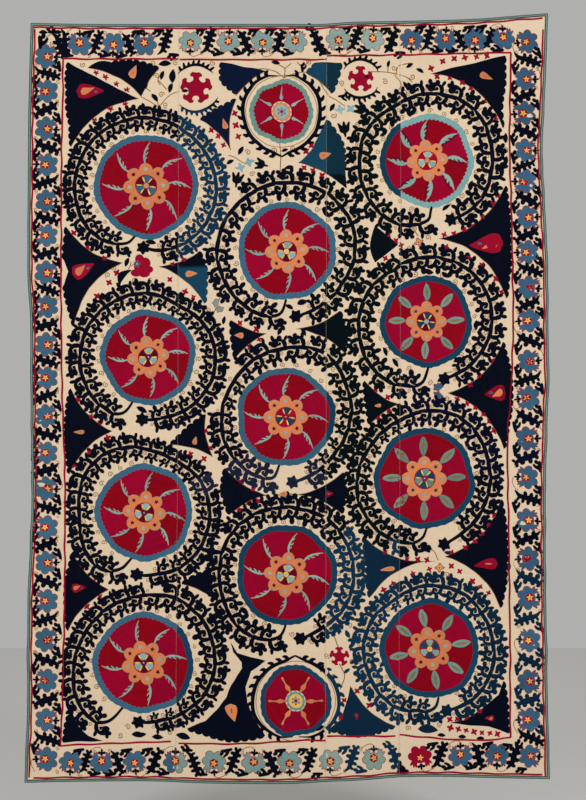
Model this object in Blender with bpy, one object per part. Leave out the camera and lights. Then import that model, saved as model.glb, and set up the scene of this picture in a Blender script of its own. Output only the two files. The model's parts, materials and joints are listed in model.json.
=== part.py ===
# Suzani: four loom widths of handwoven cotton, joined by seams, embroidered and edged with a woven
# braid. It hangs by its top edge, so its sides flute off the wall while the middle stays nearly flat.
#
# Frame: the origin is the middle of the top edge, +X to the viewer's right, +Z up, front towards -Y.
# The tables give places in millimetres: across from the middle line, and below the top edge.

import bpy
import bmesh
from math import cos, exp, pi

MM = 0.001

# Cloth
PANEL_THICK = 1.4
SEAM_GAP = 0.3
BRAID_WIDE = 10.0
BRAID_THICK = 2.2

# How finely the solids follow the folds
ROW_PITCH = 68.0
LEAST_ROW = 15.0
COLUMNS_TO_EDGE = (0.0, 0.36, 0.62, 0.8, 0.91, 1.0)
COLUMNS_HALF = (0.0, 0.5, 1.0)
COLUMNS_MIDDLE = (0.0, 0.33, 0.67, 1.0)

# The outline and the three seams: where each lies across, at heights below the top edge
# below, left edge, seam 1, seam 2, seam 3, right edge
SECTIONS = [
    (-30, -848, -360, 129, 368, 858),
    (172, -854, -361, 128, 370, 851),
    (416, -858, -361, 127, 372, 840),
    (581, -859, -362, 127, 372, 847),
    (683, -860, -362, 127, 372, 853),
    (851, -858, -363, 127, 371, 858),
    (977, -851, -363, 126, 371, 859),
    (1175, -850, -363, 126, 370, 861),
    (1343, -848, -364, 126, 369, 855),
    (1511, -846, -365, 125, 369, 851),
    (1680, -849, -366, 125, 368, 850),
    (1835, -857, -366, 125, 368, 851),
    (1967, -860, -367, 124, 367, 853),
    (2112, -860, -369, 124, 367, 855),
    (2297, -862, -370, 123, 367, 859),
    (2510, -870, -371, 122, 367, 865),
]

# The top and the bottom edge sag between the places where the cloth is held: across, below
TOP_EDGE = [
    (-870, -4), (-653, 0), (-290, 0), (0, 0), (106, 0), (214, -7), (370, -10), (617, -17),
    (746, -27), (865, -36),
]
BOTTOM_EDGE = [
    (-870, 2504), (-696, 2500), (-455, 2499), (-264, 2506), (7, 2507), (122, 2501), (257, 2495),
    (366, 2486), (511, 2484), (667, 2488), (865, 2492),
]

# Flutes where a side edge stands off the wall: below, half height, forward, reach into the cloth
LEFT_FLUTES = [
    (310, 95, 6, 110), (830, 100, 8, 130), (1150, 80, 6, 90), (1323, 50, 12, 90), (1412, 44, 9, 70),
    (1505, 52, 14, 100), (1690, 70, 18, 130), (1880, 60, 7, 80), (2086, 80, 20, 150),
    (2390, 75, 11, 120),
]
RIGHT_FLUTES = [
    (304, 55, 12, 90), (465, 44, 10, 75), (548, 44, 11, 80), (785, 70, 16, 130), (911, 58, 14, 100),
    (1175, 80, 18, 140), (1373, 68, 15, 120), (1520, 44, 7, 70), (1653, 60, 17, 120),
    (1818, 56, 14, 100), (2066, 76, 20, 150), (2370, 70, 10, 110),
]

# Broad soft swells and troughs of the face: across, below, half width, half height, forward
SWELLS = [
    (-610, 560, 300, 420, 5), (-180, 980, 340, 520, -3), (310, 1500, 330, 520, 5),
    (-320, 1920, 340, 420, 4), (560, 620, 280, 420, 4), (610, 2260, 260, 300, 6),
    (-640, 2330, 240, 260, 6), (20, 2420, 330, 200, 5), (60, 420, 300, 300, -2),
]
HELD_FLAT = 260.0  # the cloth is held against the wall at its top, and the folds grow below it


def smooth(share):
    share = min(1.0, max(0.0, share))
    return share * share * (3.0 - 2.0 * share)


def along(table, place, column):
    """A value from a table whose first column is the place, on a smooth curve through its rows."""
    rows = [(row[0], row[column]) for row in table]
    place = min(rows[-1][0], max(rows[0][0], place))
    for i in range(len(rows) - 1):
        if place <= rows[i + 1][0]:
            break
    (p1, v1), (p2, v2) = rows[i], rows[i + 1]
    p0, v0 = rows[max(i - 1, 0)]
    p3, v3 = rows[min(i + 2, len(rows) - 1)]
    span = p2 - p1
    slope_1 = (v2 - v0) / (p2 - p0) * span
    slope_2 = (v3 - v1) / (p3 - p1) * span
    t = (place - p1) / span
    return (v1 * (2 * t**3 - 3 * t**2 + 1) + slope_1 * (t**3 - 2 * t**2 + t)
            + v2 * (3 * t**2 - 2 * t**3) + slope_2 * (t**3 - t**2))


def bell(distance, half):
    """A soft ridge: 1 at its crest, 0 at half and beyond."""
    if abs(distance) >= half:
        return 0.0
    return 0.5 + 0.5 * cos(pi * distance / half)


def forward(across, below):
    """How far the middle of the cloth stands in front of the wall's plane."""
    left = across - along(SECTIONS, below, 1)
    right = along(SECTIONS, below, 5) - across
    depth = 0.0
    for flutes, inside in ((LEFT_FLUTES, left), (RIGHT_FLUTES, right)):
        for crest, half, height, reach in flutes:
            depth += height * bell(below - crest, half) * exp(-(max(inside, 0.0) / reach) ** 2)
    for middle, crest, half_wide, half_high, height in SWELLS:
        depth += height * bell(across - middle, half_wide) * bell(below - crest, half_high)
    return depth * smooth(below / HELD_FLAT)


def height_at(across, share, inset):
    """The place below the top edge of a share of the way down, inset from the top and bottom edge."""
    top = along(TOP_EDGE, across, 1) + inset
    bottom = along(BOTTOM_EDGE, across, 1) - inset
    return top + (bottom - top) * share


def rows_for(flutes):
    """Shares of the way down: even rows, with more on the crest and flanks of each flute."""
    tall = along(BOTTOM_EDGE, 0, 1) - along(TOP_EDGE, 0, 1)
    count = round(tall / ROW_PITCH)
    wanted = []
    for crest, half, _, _ in flutes:
        wanted += [crest - half, crest - half / 2, crest, crest + half / 2, crest + half]
    wanted += [tall * i / count for i in range(1, count)]
    kept = [0.0, tall]
    for place in wanted:
        if all(abs(place - other) > LEAST_ROW for other in kept):
            kept.append(place)
    return [place / tall for place in sorted(kept)]


def slab(name, grid, thick, colour, roughness):
    """A closed sheet, thick in the front-to-back direction, over a grid of (across, below) places."""
    mesh = bmesh.new()
    faces = []
    for side in (-0.5, 0.5):
        faces.append([[mesh.verts.new((x * MM, (side * thick - forward(x, z)) * MM, -z * MM))
                       for x, z in row] for row in grid])
    front, back = faces
    down, over = len(grid) - 1, len(grid[0]) - 1
    for i in range(down):
        for j in range(over):
            mesh.faces.new((front[i][j], front[i + 1][j], front[i + 1][j + 1], front[i][j + 1]))
            mesh.faces.new((back[i][j], back[i][j + 1], back[i + 1][j + 1], back[i + 1][j]))
    rim = ([(0, j) for j in range(over)] + [(i, over) for i in range(down)]
           + [(down, j) for j in range(over, 0, -1)] + [(i, 0) for i in range(down, 0, -1)])
    for (i, j), (k, m) in zip(rim, rim[1:] + rim[:1]):
        mesh.faces.new((front[i][j], front[k][m], back[k][m], back[i][j]))
    bmesh.ops.recalc_face_normals(mesh, faces=mesh.faces)
    data = bpy.data.meshes.new(name)
    mesh.to_mesh(data)
    mesh.free()
    data.materials.append(cloth_material(name, colour, roughness))
    data.shade_smooth()
    data.set_sharp_from_angle(angle=pi / 4)
    bpy.context.scene.collection.objects.link(bpy.data.objects.new(name, data))


def cloth_material(name, colour, roughness):
    material = bpy.data.materials.new(name)
    material.use_nodes = True
    shader = material.node_tree.nodes["Principled BSDF"]
    shader.inputs["Base Color"].default_value = (*colour, 1.0)
    shader.inputs["Roughness"].default_value = roughness
    shader.inputs["Metallic"].default_value = 0.0
    return material


def across_at(line, below):
    """Line 0 is the sewn line inside the left braid, 1 to 3 are the seams, 4 is the right sewn line."""
    inset = {0: BRAID_WIDE, 4: -BRAID_WIDE}.get(line, 0.0)
    return along(SECTIONS, below, line + 1) + inset


def panel(name, line, columns, rows, colour):
    """One loom width between two neighbouring lines, clear of its neighbours by half a gap a side."""
    grid = []
    for share in rows:
        places = []
        for column in columns:
            x = 0.0
            z = height_at(x, share, BRAID_WIDE)
            for _ in range(3):  # the two outlines settle on each other
                left = across_at(line, z) + SEAM_GAP / 2
                right = across_at(line + 1, z) - SEAM_GAP / 2
                x = left + (right - left) * column
                z = height_at(x, share, BRAID_WIDE + SEAM_GAP / 2)
            places.append((x, z))
        grid.append(places)
    slab(name, grid, PANEL_THICK, colour, 0.9)
    return [grid[0], grid[-1]]


def side_braid(name, section_column, inward, rows):
    """Down one side, outside the sewn line, mitred at both corners."""
    grid = []
    for share in rows:
        row = []
        for inset, clear in ((0.0, 0.0), (BRAID_WIDE - SEAM_GAP / 2, SEAM_GAP)):
            x = 0.0
            z = height_at(x, share, inset)
            for _ in range(3):
                x = along(SECTIONS, z, section_column) + inward * inset
                z = height_at(x, share, inset + clear)
            row.append((x, z))
        grid.append(row if inward > 0 else row[::-1])
    slab(name, grid, BRAID_THICK, BRAID_COLOUR, 0.8)


def end_braid(name, table, downward, edge_places):
    """Along the top or the bottom, outside the sewn line, mitred at both corners."""
    left_corner = edge_places[0][0]
    right_corner = edge_places[-1][0]
    rows = []
    for inset in (0.0, BRAID_WIDE - SEAM_GAP / 2):
        row = []
        for place, _ in edge_places:
            x = place
            if place in (left_corner, right_corner):
                z = along(table, place, 1)
                column, inward = (1, 1.0) if place == left_corner else (5, -1.0)
                x = along(SECTIONS, z + downward * inset, column) + inward * (inset + SEAM_GAP * 1.5)
            row.append((x, along(table, x, 1) + downward * inset))
        rows.append(row)
    if downward < 0:
        rows.reverse()
    slab(name, rows, BRAID_THICK, BRAID_COLOUR, 0.8)


COTTON_COLOUR = (0.78, 0.66, 0.46)
BRAID_COLOUR = (0.16, 0.26, 0.23)
PANELS = [
    # name, line at its left, columns, flutes that its rows follow
    ("panel_left", 0, [1.0 - c for c in reversed(COLUMNS_TO_EDGE)], LEFT_FLUTES),
    ("panel_middle", 1, COLUMNS_MIDDLE, []),
    ("panel_half", 2, COLUMNS_HALF, []),
    ("panel_right", 3, COLUMNS_TO_EDGE, RIGHT_FLUTES),
]


def build():
    for thing in list(bpy.data.objects):
        bpy.data.objects.remove(thing, do_unlink=True)
    top, bottom = [], []
    for name, line, columns, flutes in PANELS:
        ends = panel(name, line, columns, rows_for(flutes), COTTON_COLOUR)
        top += ends[0]
        bottom += ends[1]
    side_braid("braid_left", 1, 1.0, rows_for(LEFT_FLUTES))
    side_braid("braid_right", 5, -1.0, rows_for(RIGHT_FLUTES))
    end_braid("braid_top", TOP_EDGE, 1.0, top)
    end_braid("braid_bottom", BOTTOM_EDGE, -1.0, bottom)


build()
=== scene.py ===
import json
import random
from math import atan2, cos, degrees, hypot, pi, radians, sin

import bmesh
import bpy
import numpy as np
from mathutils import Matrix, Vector
from mathutils.geometry import delaunay_2d_cdt

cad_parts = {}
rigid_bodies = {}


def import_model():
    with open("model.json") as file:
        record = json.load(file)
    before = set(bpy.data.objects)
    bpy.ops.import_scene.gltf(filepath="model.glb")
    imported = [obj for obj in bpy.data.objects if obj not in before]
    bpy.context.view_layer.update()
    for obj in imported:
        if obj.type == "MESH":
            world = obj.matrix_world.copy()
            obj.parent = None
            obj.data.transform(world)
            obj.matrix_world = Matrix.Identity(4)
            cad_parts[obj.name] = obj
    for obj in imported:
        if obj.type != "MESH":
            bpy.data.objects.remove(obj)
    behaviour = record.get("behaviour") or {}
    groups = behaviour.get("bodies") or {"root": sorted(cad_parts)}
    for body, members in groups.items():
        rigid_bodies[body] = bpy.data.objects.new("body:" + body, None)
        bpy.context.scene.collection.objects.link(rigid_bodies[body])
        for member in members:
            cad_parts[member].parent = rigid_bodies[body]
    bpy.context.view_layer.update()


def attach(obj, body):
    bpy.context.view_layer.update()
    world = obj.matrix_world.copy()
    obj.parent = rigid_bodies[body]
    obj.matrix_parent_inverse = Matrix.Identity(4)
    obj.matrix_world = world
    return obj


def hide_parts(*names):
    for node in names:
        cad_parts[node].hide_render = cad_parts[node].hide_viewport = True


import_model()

# Suzani: silk embroidery on four joined loom widths of handwoven cotton, with a woven braid round it.
# Shapes are drawn flat, in millimetres: across from the middle line, and up from the top edge, so a
# place on the cloth is (across, up) with up below nought. The finished work is then laid on the folds.

MM = 0.001

# Cloth
COTTON_THICK = 0.8
SEAM_GAP = 0.3
BRAID_WIDE = 10.0
SEAM_DIP = 0.9
SEAM_DIP_HALF = 6.0
SELVEDGE_BARE = 0.15
CLOTH_TALL = 2507.0
# Across the braid: places in from its outer edge, and how far it stands to each side there
BRAID_INSETS = np.array([0.0, 0.6, 2.2, 4.0, 6.0, 8.0, 9.3, BRAID_WIDE - SEAM_GAP / 2])
BRAID_CROWN = np.array([0.55, 0.85, 1.08, 1.1, 1.1, 1.08, 0.85, 0.55])
SIDE_BRAID_ROWS = 330
END_BRAID_COLUMNS = 190

# Silk: how far each layer of stitches stands in front of the middle of the cotton
UNDERSIDE = -0.62
FIRST_LAYER = 0.95
SECOND_LAYER = 1.2
THIRD_LAYER = 1.45
FOURTH_LAYER = 1.7
LINE_LAYER = 1.05
STEM_LAYER = 0.8
BURIED = 0.5
LOWEST_ON_TOP = 1.1
EDGE_DROP = 0.35
# Work that overlaps keeps a hair apart, by its tone, and on the back by its thread as well
TONE_LIFT = 0.012
BACK_DROP = 0.06
BACK_TONE_DROP = 0.04
BACK_THREAD_DROP = 0.004

# The pattern is set out on squares, counted from the left and from the top
SQUARE = 3.3
MIDDLE_COLUMN = 288.0
TOP_ROW = 24.0

# below, left edge, seam 1, seam 2, seam 3, right edge
SECTIONS = [
    (-30, -848, -360, 129, 368, 858),
    (172, -854, -361, 128, 370, 851),
    (416, -858, -361, 127, 372, 840),
    (581, -859, -362, 127, 372, 847),
    (683, -860, -362, 127, 372, 853),
    (851, -858, -363, 127, 371, 858),
    (977, -851, -363, 126, 371, 859),
    (1175, -850, -363, 126, 370, 861),
    (1343, -848, -364, 126, 369, 855),
    (1511, -846, -365, 125, 369, 851),
    (1680, -849, -366, 125, 368, 850),
    (1835, -857, -366, 125, 368, 851),
    (1967, -860, -367, 124, 367, 853),
    (2112, -860, -369, 124, 367, 855),
    (2297, -862, -370, 123, 367, 859),
    (2510, -870, -371, 122, 367, 865),
]

# across, below
TOP_EDGE = [
    (-870, -4), (-653, 0), (-290, 0), (0, 0), (106, 0), (214, -7), (370, -10), (617, -17),
    (746, -27), (865, -36),
]
BOTTOM_EDGE = [
    (-870, 2504), (-696, 2500), (-455, 2499), (-264, 2506), (7, 2507), (122, 2501), (257, 2495),
    (366, 2486), (511, 2484), (667, 2488), (865, 2492),
]

# below, half height, forward, reach
LEFT_FLUTES = [
    (310, 95, 6, 110), (830, 100, 8, 130), (1150, 80, 6, 90), (1323, 50, 12, 90), (1412, 44, 9, 70),
    (1505, 52, 14, 100), (1690, 70, 18, 130), (1880, 60, 7, 80), (2086, 80, 20, 150),
    (2390, 75, 11, 120),
]
RIGHT_FLUTES = [
    (304, 55, 12, 90), (465, 44, 10, 75), (548, 44, 11, 80), (785, 70, 16, 130), (911, 58, 14, 100),
    (1175, 80, 18, 140), (1373, 68, 15, 120), (1520, 44, 7, 70), (1653, 60, 17, 120),
    (1818, 56, 14, 100), (2066, 76, 20, 150), (2370, 70, 10, 110),
]

# across, below, half width, half height, forward
SWELLS = [
    (-610, 560, 300, 420, 5), (-180, 980, 340, 520, -3), (310, 1500, 330, 520, 5),
    (-320, 1920, 340, 420, 4), (560, 620, 280, 420, 4), (610, 2260, 260, 300, 6),
    (-640, 2330, 240, 260, 6), (20, 2420, 330, 200, 5), (60, 420, 300, 300, -2),
]
HELD_FLAT = 260.0


def curve(table, column):
    """Close-set places and values of one column of a table, on a smooth curve through its rows."""
    places = np.array([row[0] for row in table], float)
    values = np.array([row[column] for row in table], float)
    last = len(places) - 1
    after = np.minimum(np.arange(last + 1) + 1, last)
    before = np.maximum(np.arange(last + 1) - 1, 0)
    slopes = (values[after] - values[before]) / (places[after] - places[before])
    close = np.linspace(places[0], places[-1], 4000)
    i = np.clip(np.searchsorted(places, close, side="right") - 1, 0, last - 1)
    span = places[i + 1] - places[i]
    t = (close - places[i]) / span
    smooth = (values[i] * (2 * t**3 - 3 * t**2 + 1) + slopes[i] * span * (t**3 - 2 * t**2 + t)
              + values[i + 1] * (3 * t**2 - 2 * t**3) + slopes[i + 1] * span * (t**3 - t**2))
    return close, smooth


LEFT_LINE, SEAM_1, SEAM_2, SEAM_3, RIGHT_LINE = (curve(SECTIONS, column) for column in range(1, 6))
SEAMS = (SEAM_1, SEAM_2, SEAM_3)
TOP_LINE = curve(TOP_EDGE, 1)
BOTTOM_LINE = curve(BOTTOM_EDGE, 1)


def on(line, place):
    """The value of a curve at a place."""
    return np.interp(place, *line)


def bell(distance, half):
    """A soft ridge: 1 at its crest, 0 at half and beyond."""
    return np.where(np.abs(distance) < half, 0.5 + 0.5 * np.cos(pi * distance / half), 0.0)


def forward(across, below):
    """How far the middle of the cloth stands in front of the wall's plane."""
    left = np.maximum(across - on(LEFT_LINE, below), 0.0)
    right = np.maximum(on(RIGHT_LINE, below) - across, 0.0)
    depth = np.zeros_like(across)
    for flutes, inside in ((LEFT_FLUTES, left), (RIGHT_FLUTES, right)):
        for crest, half, height, reach in flutes:
            depth += height * bell(below - crest, half) * np.exp(-(inside / reach) ** 2)
    for middle, crest, half_wide, half_high, height in SWELLS:
        depth += height * bell(across - middle, half_wide) * bell(below - crest, half_high)
    grown = np.clip(below / HELD_FLAT, 0.0, 1.0)
    depth *= grown * grown * (3.0 - 2.0 * grown)
    for seam in SEAMS:
        depth -= SEAM_DIP * bell(across - on(seam, below), SEAM_DIP_HALF)
    return depth


def laid_on_folds(flat):
    """World places of flat (across, lift, up) places, in metres."""
    across, lift, up = flat[:, 0], flat[:, 1], flat[:, 2]
    depth = forward(across, -up) + lift
    return np.column_stack((across, -depth, up)) * MM


# Silk dyes
def colour(red, green, blue):
    """A dye seen as red, green and blue out of 255, in the measure the materials take."""
    shares = np.array([red, green, blue], float) / 255.0
    return np.where(shares > 0.04045, ((shares + 0.055) / 1.055) ** 2.4, shares / 12.92)


NAVY = colour(5, 9, 24)
DARK_BROWN = colour(92, 72, 46)
GREEN_BLACK = colour(3, 13, 19)
TEAL_NAVY = colour(12, 46, 72)
TEAL = colour(20, 62, 84)
GREY_NAVY = colour(24, 31, 52)
CRIMSON = colour(143, 9, 40)
RED = colour(132, 4, 23)
PLUM = colour(84, 8, 34)
ORANGE = colour(202, 121, 77)
YELLOW = colour(226, 182, 86)
PALE_BLUE = colour(130, 164, 163)
STEEL = colour(55, 96, 119)
DEEP_BLUE = colour(20, 60, 84)
GREY_TEAL = colour(126, 162, 152)
MID_TEAL = colour(104, 143, 134)
BROWN = colour(134, 100, 56)
PALE_BROWN = colour(214, 192, 156)

THREADS = ["field", "leaf", "crimson", "wine", "red", "plum", "orange", "yellow", "pale blue", "steel",
           "deep blue", "petal", "feather", "spindle", "brown", "curl", "medallion", "cotton"]
# thread: dye, dye of its outline. Wine and red are just darker at the rim; the cotton stitches' darker rim
# is painted shade along each stitch's rounded edge.
DYES = {
    "field": (NAVY, NAVY),
    "leaf": (NAVY, DARK_BROWN),
    "crimson": (CRIMSON, CRIMSON),
    "wine": (colour(142, 4, 40), colour(124, 5, 34)),
    "red": (RED, colour(126, 6, 20)),
    "plum": (PLUM, PLUM),
    "orange": (ORANGE, colour(132, 140, 128)),
    "yellow": (YELLOW, YELLOW),
    "pale blue": (PALE_BLUE, PALE_BLUE),
    "steel": (STEEL, STEEL),
    "deep blue": (DEEP_BLUE, DEEP_BLUE),
    "petal": (STEEL, CRIMSON),
    "feather": (GREY_TEAL, GREY_TEAL),
    "spindle": (MID_TEAL, MID_TEAL),
    "brown": (BROWN, BROWN),
    "curl": (PALE_BROWN, BROWN),
    "medallion": (CRIMSON, CRIMSON),
    # cotton stitches: the darker outline is painted shade along each stitch's rounded edge
    "cotton": (colour(168, 148, 116), colour(150, 130, 100)),
}

# Dye lots change from one loom width to the next, because each was worked on its own.
# thread, panel from the left, across from and to, below from and to, dye, dye of the outline
ANYWHERE = (-900, 900, -50, 2600)
LOTS = [
    ("leaf", 0, *ANYWHERE, NAVY, DARK_BROWN),
    ("leaf", 1, -900, -200, 280, 650, TEAL_NAVY, BROWN),
    ("leaf", 1, -900, -275, 640, 780, TEAL_NAVY, BROWN),
    ("leaf", 1, -900, 900, 1500, 1560, GREY_NAVY, DARK_BROWN),
    ("leaf", 1, -250, 100, 1440, 1500, GREY_NAVY, DARK_BROWN),
    ("leaf", 2, -900, 900, -50, 1700, GREEN_BLACK, DARK_BROWN),
    ("leaf", 2, -900, 900, 1700, 2600, TEAL_NAVY, BROWN),
    ("leaf", 3, -900, 900, 1180, 1500, colour(6, 10, 32), DARK_BROWN),
    ("leaf", 3, -900, 900, 1740, 2330, colour(10, 34, 56), colour(70, 62, 50)),
    ("field", 0, *ANYWHERE, NAVY, NAVY),
    ("field", 1, -900, 900, 100, 420, colour(9, 19, 45), NAVY),
    ("field", 1, -900, -240, 800, 960, TEAL, TEAL),
    ("field", 1, 0, 200, 100, 500, TEAL, NAVY),
    ("field", 2, -900, 900, -50, 500, colour(13, 42, 56), NAVY),
    ("field", 2, -900, 900, 500, 1700, GREEN_BLACK, GREEN_BLACK),
    ("field", 2, -900, 900, 1480, 1600, NAVY, NAVY),
    ("field", 2, -900, 900, 1650, 2390, colour(12, 38, 59), NAVY),
    ("petal", 0, *ANYWHERE, STEEL, CRIMSON),
    ("petal", 1, *ANYWHERE, colour(122, 152, 146), CRIMSON),
    ("petal", 2, *ANYWHERE, colour(134, 158, 150), CRIMSON),
    ("petal", 3, *ANYWHERE, colour(52, 90, 116), CRIMSON),
    ("petal", 3, 400, 470, 2380, 2460, CRIMSON, CRIMSON),
    ("steel", 2, -900, 900, 1100, 1500, DEEP_BLUE, DEEP_BLUE),
    ("steel", 1, -900, -250, 1900, 2400, DEEP_BLUE, DEEP_BLUE),
    ("deep blue", 3, 300, 700, 200, 640, colour(124, 168, 168), colour(124, 168, 168)),
    ("spindle", 3, 300, 700, 1300, 1700, colour(96, 128, 118), colour(120, 96, 70)),
]


def dyed(thread, panel, home, tone):
    """The dye of every point and of its outline, from its thread, its panel and where its motif is."""
    body = np.zeros((len(thread), 3))
    outline = np.zeros((len(thread), 3))
    for index, name in enumerate(THREADS):
        of_thread = thread == index
        body[of_thread], outline[of_thread] = DYES[name]
    for name, width, left, right, above, under, dye, edge in LOTS:
        of_lot = ((thread == THREADS.index(name)) & (panel == width)
                  & (home[:, 0] > left) & (home[:, 0] < right)
                  & (-home[:, 1] > above) & (-home[:, 1] < under))
        body[of_lot] = dye
        outline[of_lot] = edge
    lighter = (1.0 + 0.13 * tone)[:, None]
    return body * lighter, outline * lighter


# Drawing
NEAREST = 1e-4  # points nearer than this are one
THREAD_WIDE = 0.9


def place(column, row):
    """A place on the squares, in millimetres across and up."""
    return np.array([(column - MIDDLE_COLUMN) * SQUARE, (TOP_ROW - row) * SQUARE])


def smooth_line(points, step=4.0):
    """Points about a step apart on a smooth curve through the given ones."""
    points = np.array(points, float)
    if len(points) == 2:
        count = max(1, round(hypot(*(points[1] - points[0])) / step))
        return points[0] + (points[1] - points[0]) * np.linspace(0, 1, count + 1)[:, None]
    ends = np.vstack((2 * points[0] - points[1], points, 2 * points[-1] - points[-2]))
    line = [points[0]]
    for p0, p1, p2, p3 in zip(ends, ends[1:], ends[2:], ends[3:]):
        count = max(1, round(hypot(*(p2 - p1)) / step))
        t = (np.arange(1, count + 1) / count)[:, None]
        line.extend(0.5 * (2 * p1 + (p2 - p0) * t + (2 * p0 - 5 * p1 + 4 * p2 - p3) * t**2
                           + (3 * p1 - p0 - 3 * p2 + p3) * t**3))
    return np.array(line)


def stroke(path, widths, step=4.0):
    """The outline of a line that swells and tapers, pointed a little at both ends."""
    line = smooth_line(path, step)
    run = np.r_[0.0, np.cumsum(np.hypot(*np.diff(line, axis=0).T))]
    half = np.interp(run / run[-1], np.linspace(0, 1, len(widths)), widths)[:, None] / 2
    along = np.gradient(line, axis=0)
    along /= np.hypot(along[:, 0], along[:, 1])[:, None]
    side = np.column_stack((-along[:, 1], along[:, 0]))
    tip = line[-1:] + along[-1:] * half[-1] * 0.9
    tail = line[:1] - along[:1] * half[0] * 0.9
    return np.vstack((tail, line - side * half, tip, (line + side * half)[::-1]))


def ellipse(across, up, wide, tall, turn=0.0, count=16):
    """An ellipse of those half widths."""
    a = 2 * pi * np.arange(count) / count
    x, z = wide * np.cos(a), tall * np.sin(a)
    c, s = cos(radians(turn)), sin(radians(turn))
    return np.column_stack((across + x * c - z * s, up + x * s + z * c))


def lens(length, wide, bend=0.0, count=9):
    """A leaf pointed at both ends, from the origin along x."""
    t = np.linspace(0, 1, count)
    middle = bend * 4 * t * (1 - t)
    half = wide / 2 * np.sin(pi * t) ** 0.8
    under = np.column_stack((t * length, middle - half))
    over = np.column_stack((t * length, middle + half))
    return np.vstack((under, over[-2:0:-1]))


def drop(length, wide, bend=0.0, count=11):
    """A drop from its round end at the origin to its tip along x."""
    t = np.linspace(0, 1, count)
    half = wide / 2 * np.sin(pi * np.sqrt(t)) ** 0.9
    middle = bend * t**2
    under = np.column_stack((t * length, middle - half))
    over = np.column_stack((t * length, middle + half))
    return np.vstack((under, over[-2:0:-1]))


def star(arms, reach, waist, count=4, turn=0.0):
    """A star or small flower with rounded arms."""
    a = 2 * pi * np.arange(arms * count) / (arms * count)
    r = waist + (reach - waist) * (0.5 + 0.5 * np.cos(arms * a)) ** 1.3
    a = a + radians(turn)
    return np.column_stack((r * np.cos(a), r * np.sin(a)))


def coil(size, turns, wide, start, hand):
    """A small spiral line, from its eye outwards."""
    count = round(11 * turns) + 1
    t = np.linspace(0, 1, count)
    a = radians(start) + hand * 2 * pi * turns * t
    r = size * (0.16 + 0.84 * t)
    return stroke(np.column_stack((r * np.cos(a), r * np.sin(a))), [wide, wide], 9.0)


def moved(points, across=0.0, up=0.0, turn=0.0, size=1.0):
    """The points made larger, turned and moved, in that order."""
    c, s = cos(radians(turn)) * size, sin(radians(turn)) * size
    x, z = np.asarray(points, float).T
    return np.column_stack((across + x * c - z * s, up + x * s + z * c))


def turns_left(loop):
    """Whether a loop runs anticlockwise."""
    x, z = loop[:, 0], loop[:, 1]
    return np.dot(x, np.roll(z, -1)) - np.dot(z, np.roll(x, -1)) > 0


def inside(points, loops):
    """Which points lie within the loops, where a loop in a loop is a hole."""
    odd = np.zeros(len(points), bool)
    px, pz = points[:, 0][:, None], points[:, 1][:, None]
    for loop in loops:
        x1, z1 = loop[:, 0][None], loop[:, 1][None]
        x2, z2 = np.roll(loop[:, 0], -1)[None], np.roll(loop[:, 1], -1)[None]
        spans = (z1 > pz) != (z2 > pz)
        with np.errstate(divide="ignore", invalid="ignore"):
            crosses = px < (x2 - x1) * (pz - z1) / (z2 - z1) + x1
        odd ^= (spans & crosses).sum(axis=1) % 2 == 1
    return odd


def clearance(points, loops):
    """How far each point is from the nearest edge of the loops."""
    nearest = np.full(len(points), 1e9)
    for loop in loops:
        a, b = loop, np.roll(loop, -1, axis=0)
        d = b - a
        size = np.maximum((d**2).sum(axis=1), 1e-9)
        for first in range(0, len(points), 4000):
            p = points[first:first + 4000, None]
            t = np.clip(((p - a) * d).sum(axis=2) / size, 0, 1)[..., None]
            gap = p - (a + d * t)
            nearest[first:first + 4000] = np.minimum(nearest[first:first + 4000],
                                                     np.hypot(gap[..., 0], gap[..., 1]).min(axis=1))
    return nearest


def rim_edges(tris):
    """The edges with one triangle, each in its triangle's direction."""
    edges = np.vstack((tris[:, [0, 1]], tris[:, [1, 2]], tris[:, [2, 0]]))
    seen = {(int(a), int(b)) for a, b in edges}
    return [(a, b) for a, b in seen if (b, a) not in seen]


def joined_outline(shapes):
    """The loops round overlapping shapes, without points closer than a thread's width."""
    shapes = [s if turns_left(s) else s[::-1] for s in shapes]
    points = [Vector(p) for s in shapes for p in s]
    faces, first = [], 0
    for s in shapes:
        faces.append(list(range(first, first + len(s))))
        first += len(s)
    verts, _, tris, *_ = delaunay_2d_cdt(points, [], faces, 1, NEAREST)
    after = {}
    for a, b in rim_edges(np.array([t for t in tris if len(t) == 3])):
        after.setdefault(a, []).append(b)
    loops = []
    while after:
        start = next(iter(after))
        loop, here = [], start
        while here in after:
            loop.append(verts[here])
            ways = after[here]
            there = ways.pop()
            if not ways:
                del after[here]
            here = there
        kept = [loop[0]]
        for p in loop[1:]:
            if (p - kept[-1]).length > THREAD_WIDE:
                kept.append(p)
        if len(kept) > 4:
            loops.append(np.array([tuple(p) for p in kept]))
    return loops


def faces_within(points, links, loops):
    """Triangles between the points, within the loops, with the points and where each came from."""
    verts, _, tris, sources, *_ = delaunay_2d_cdt([Vector(p) for p in points], links, [], 0, NEAREST)
    flat = np.array([tuple(v) for v in verts])
    tris = np.array([t for t in tris if len(t) == 3])
    return flat, tris[inside(flat[tris].mean(axis=1), loops)], sources


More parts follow.
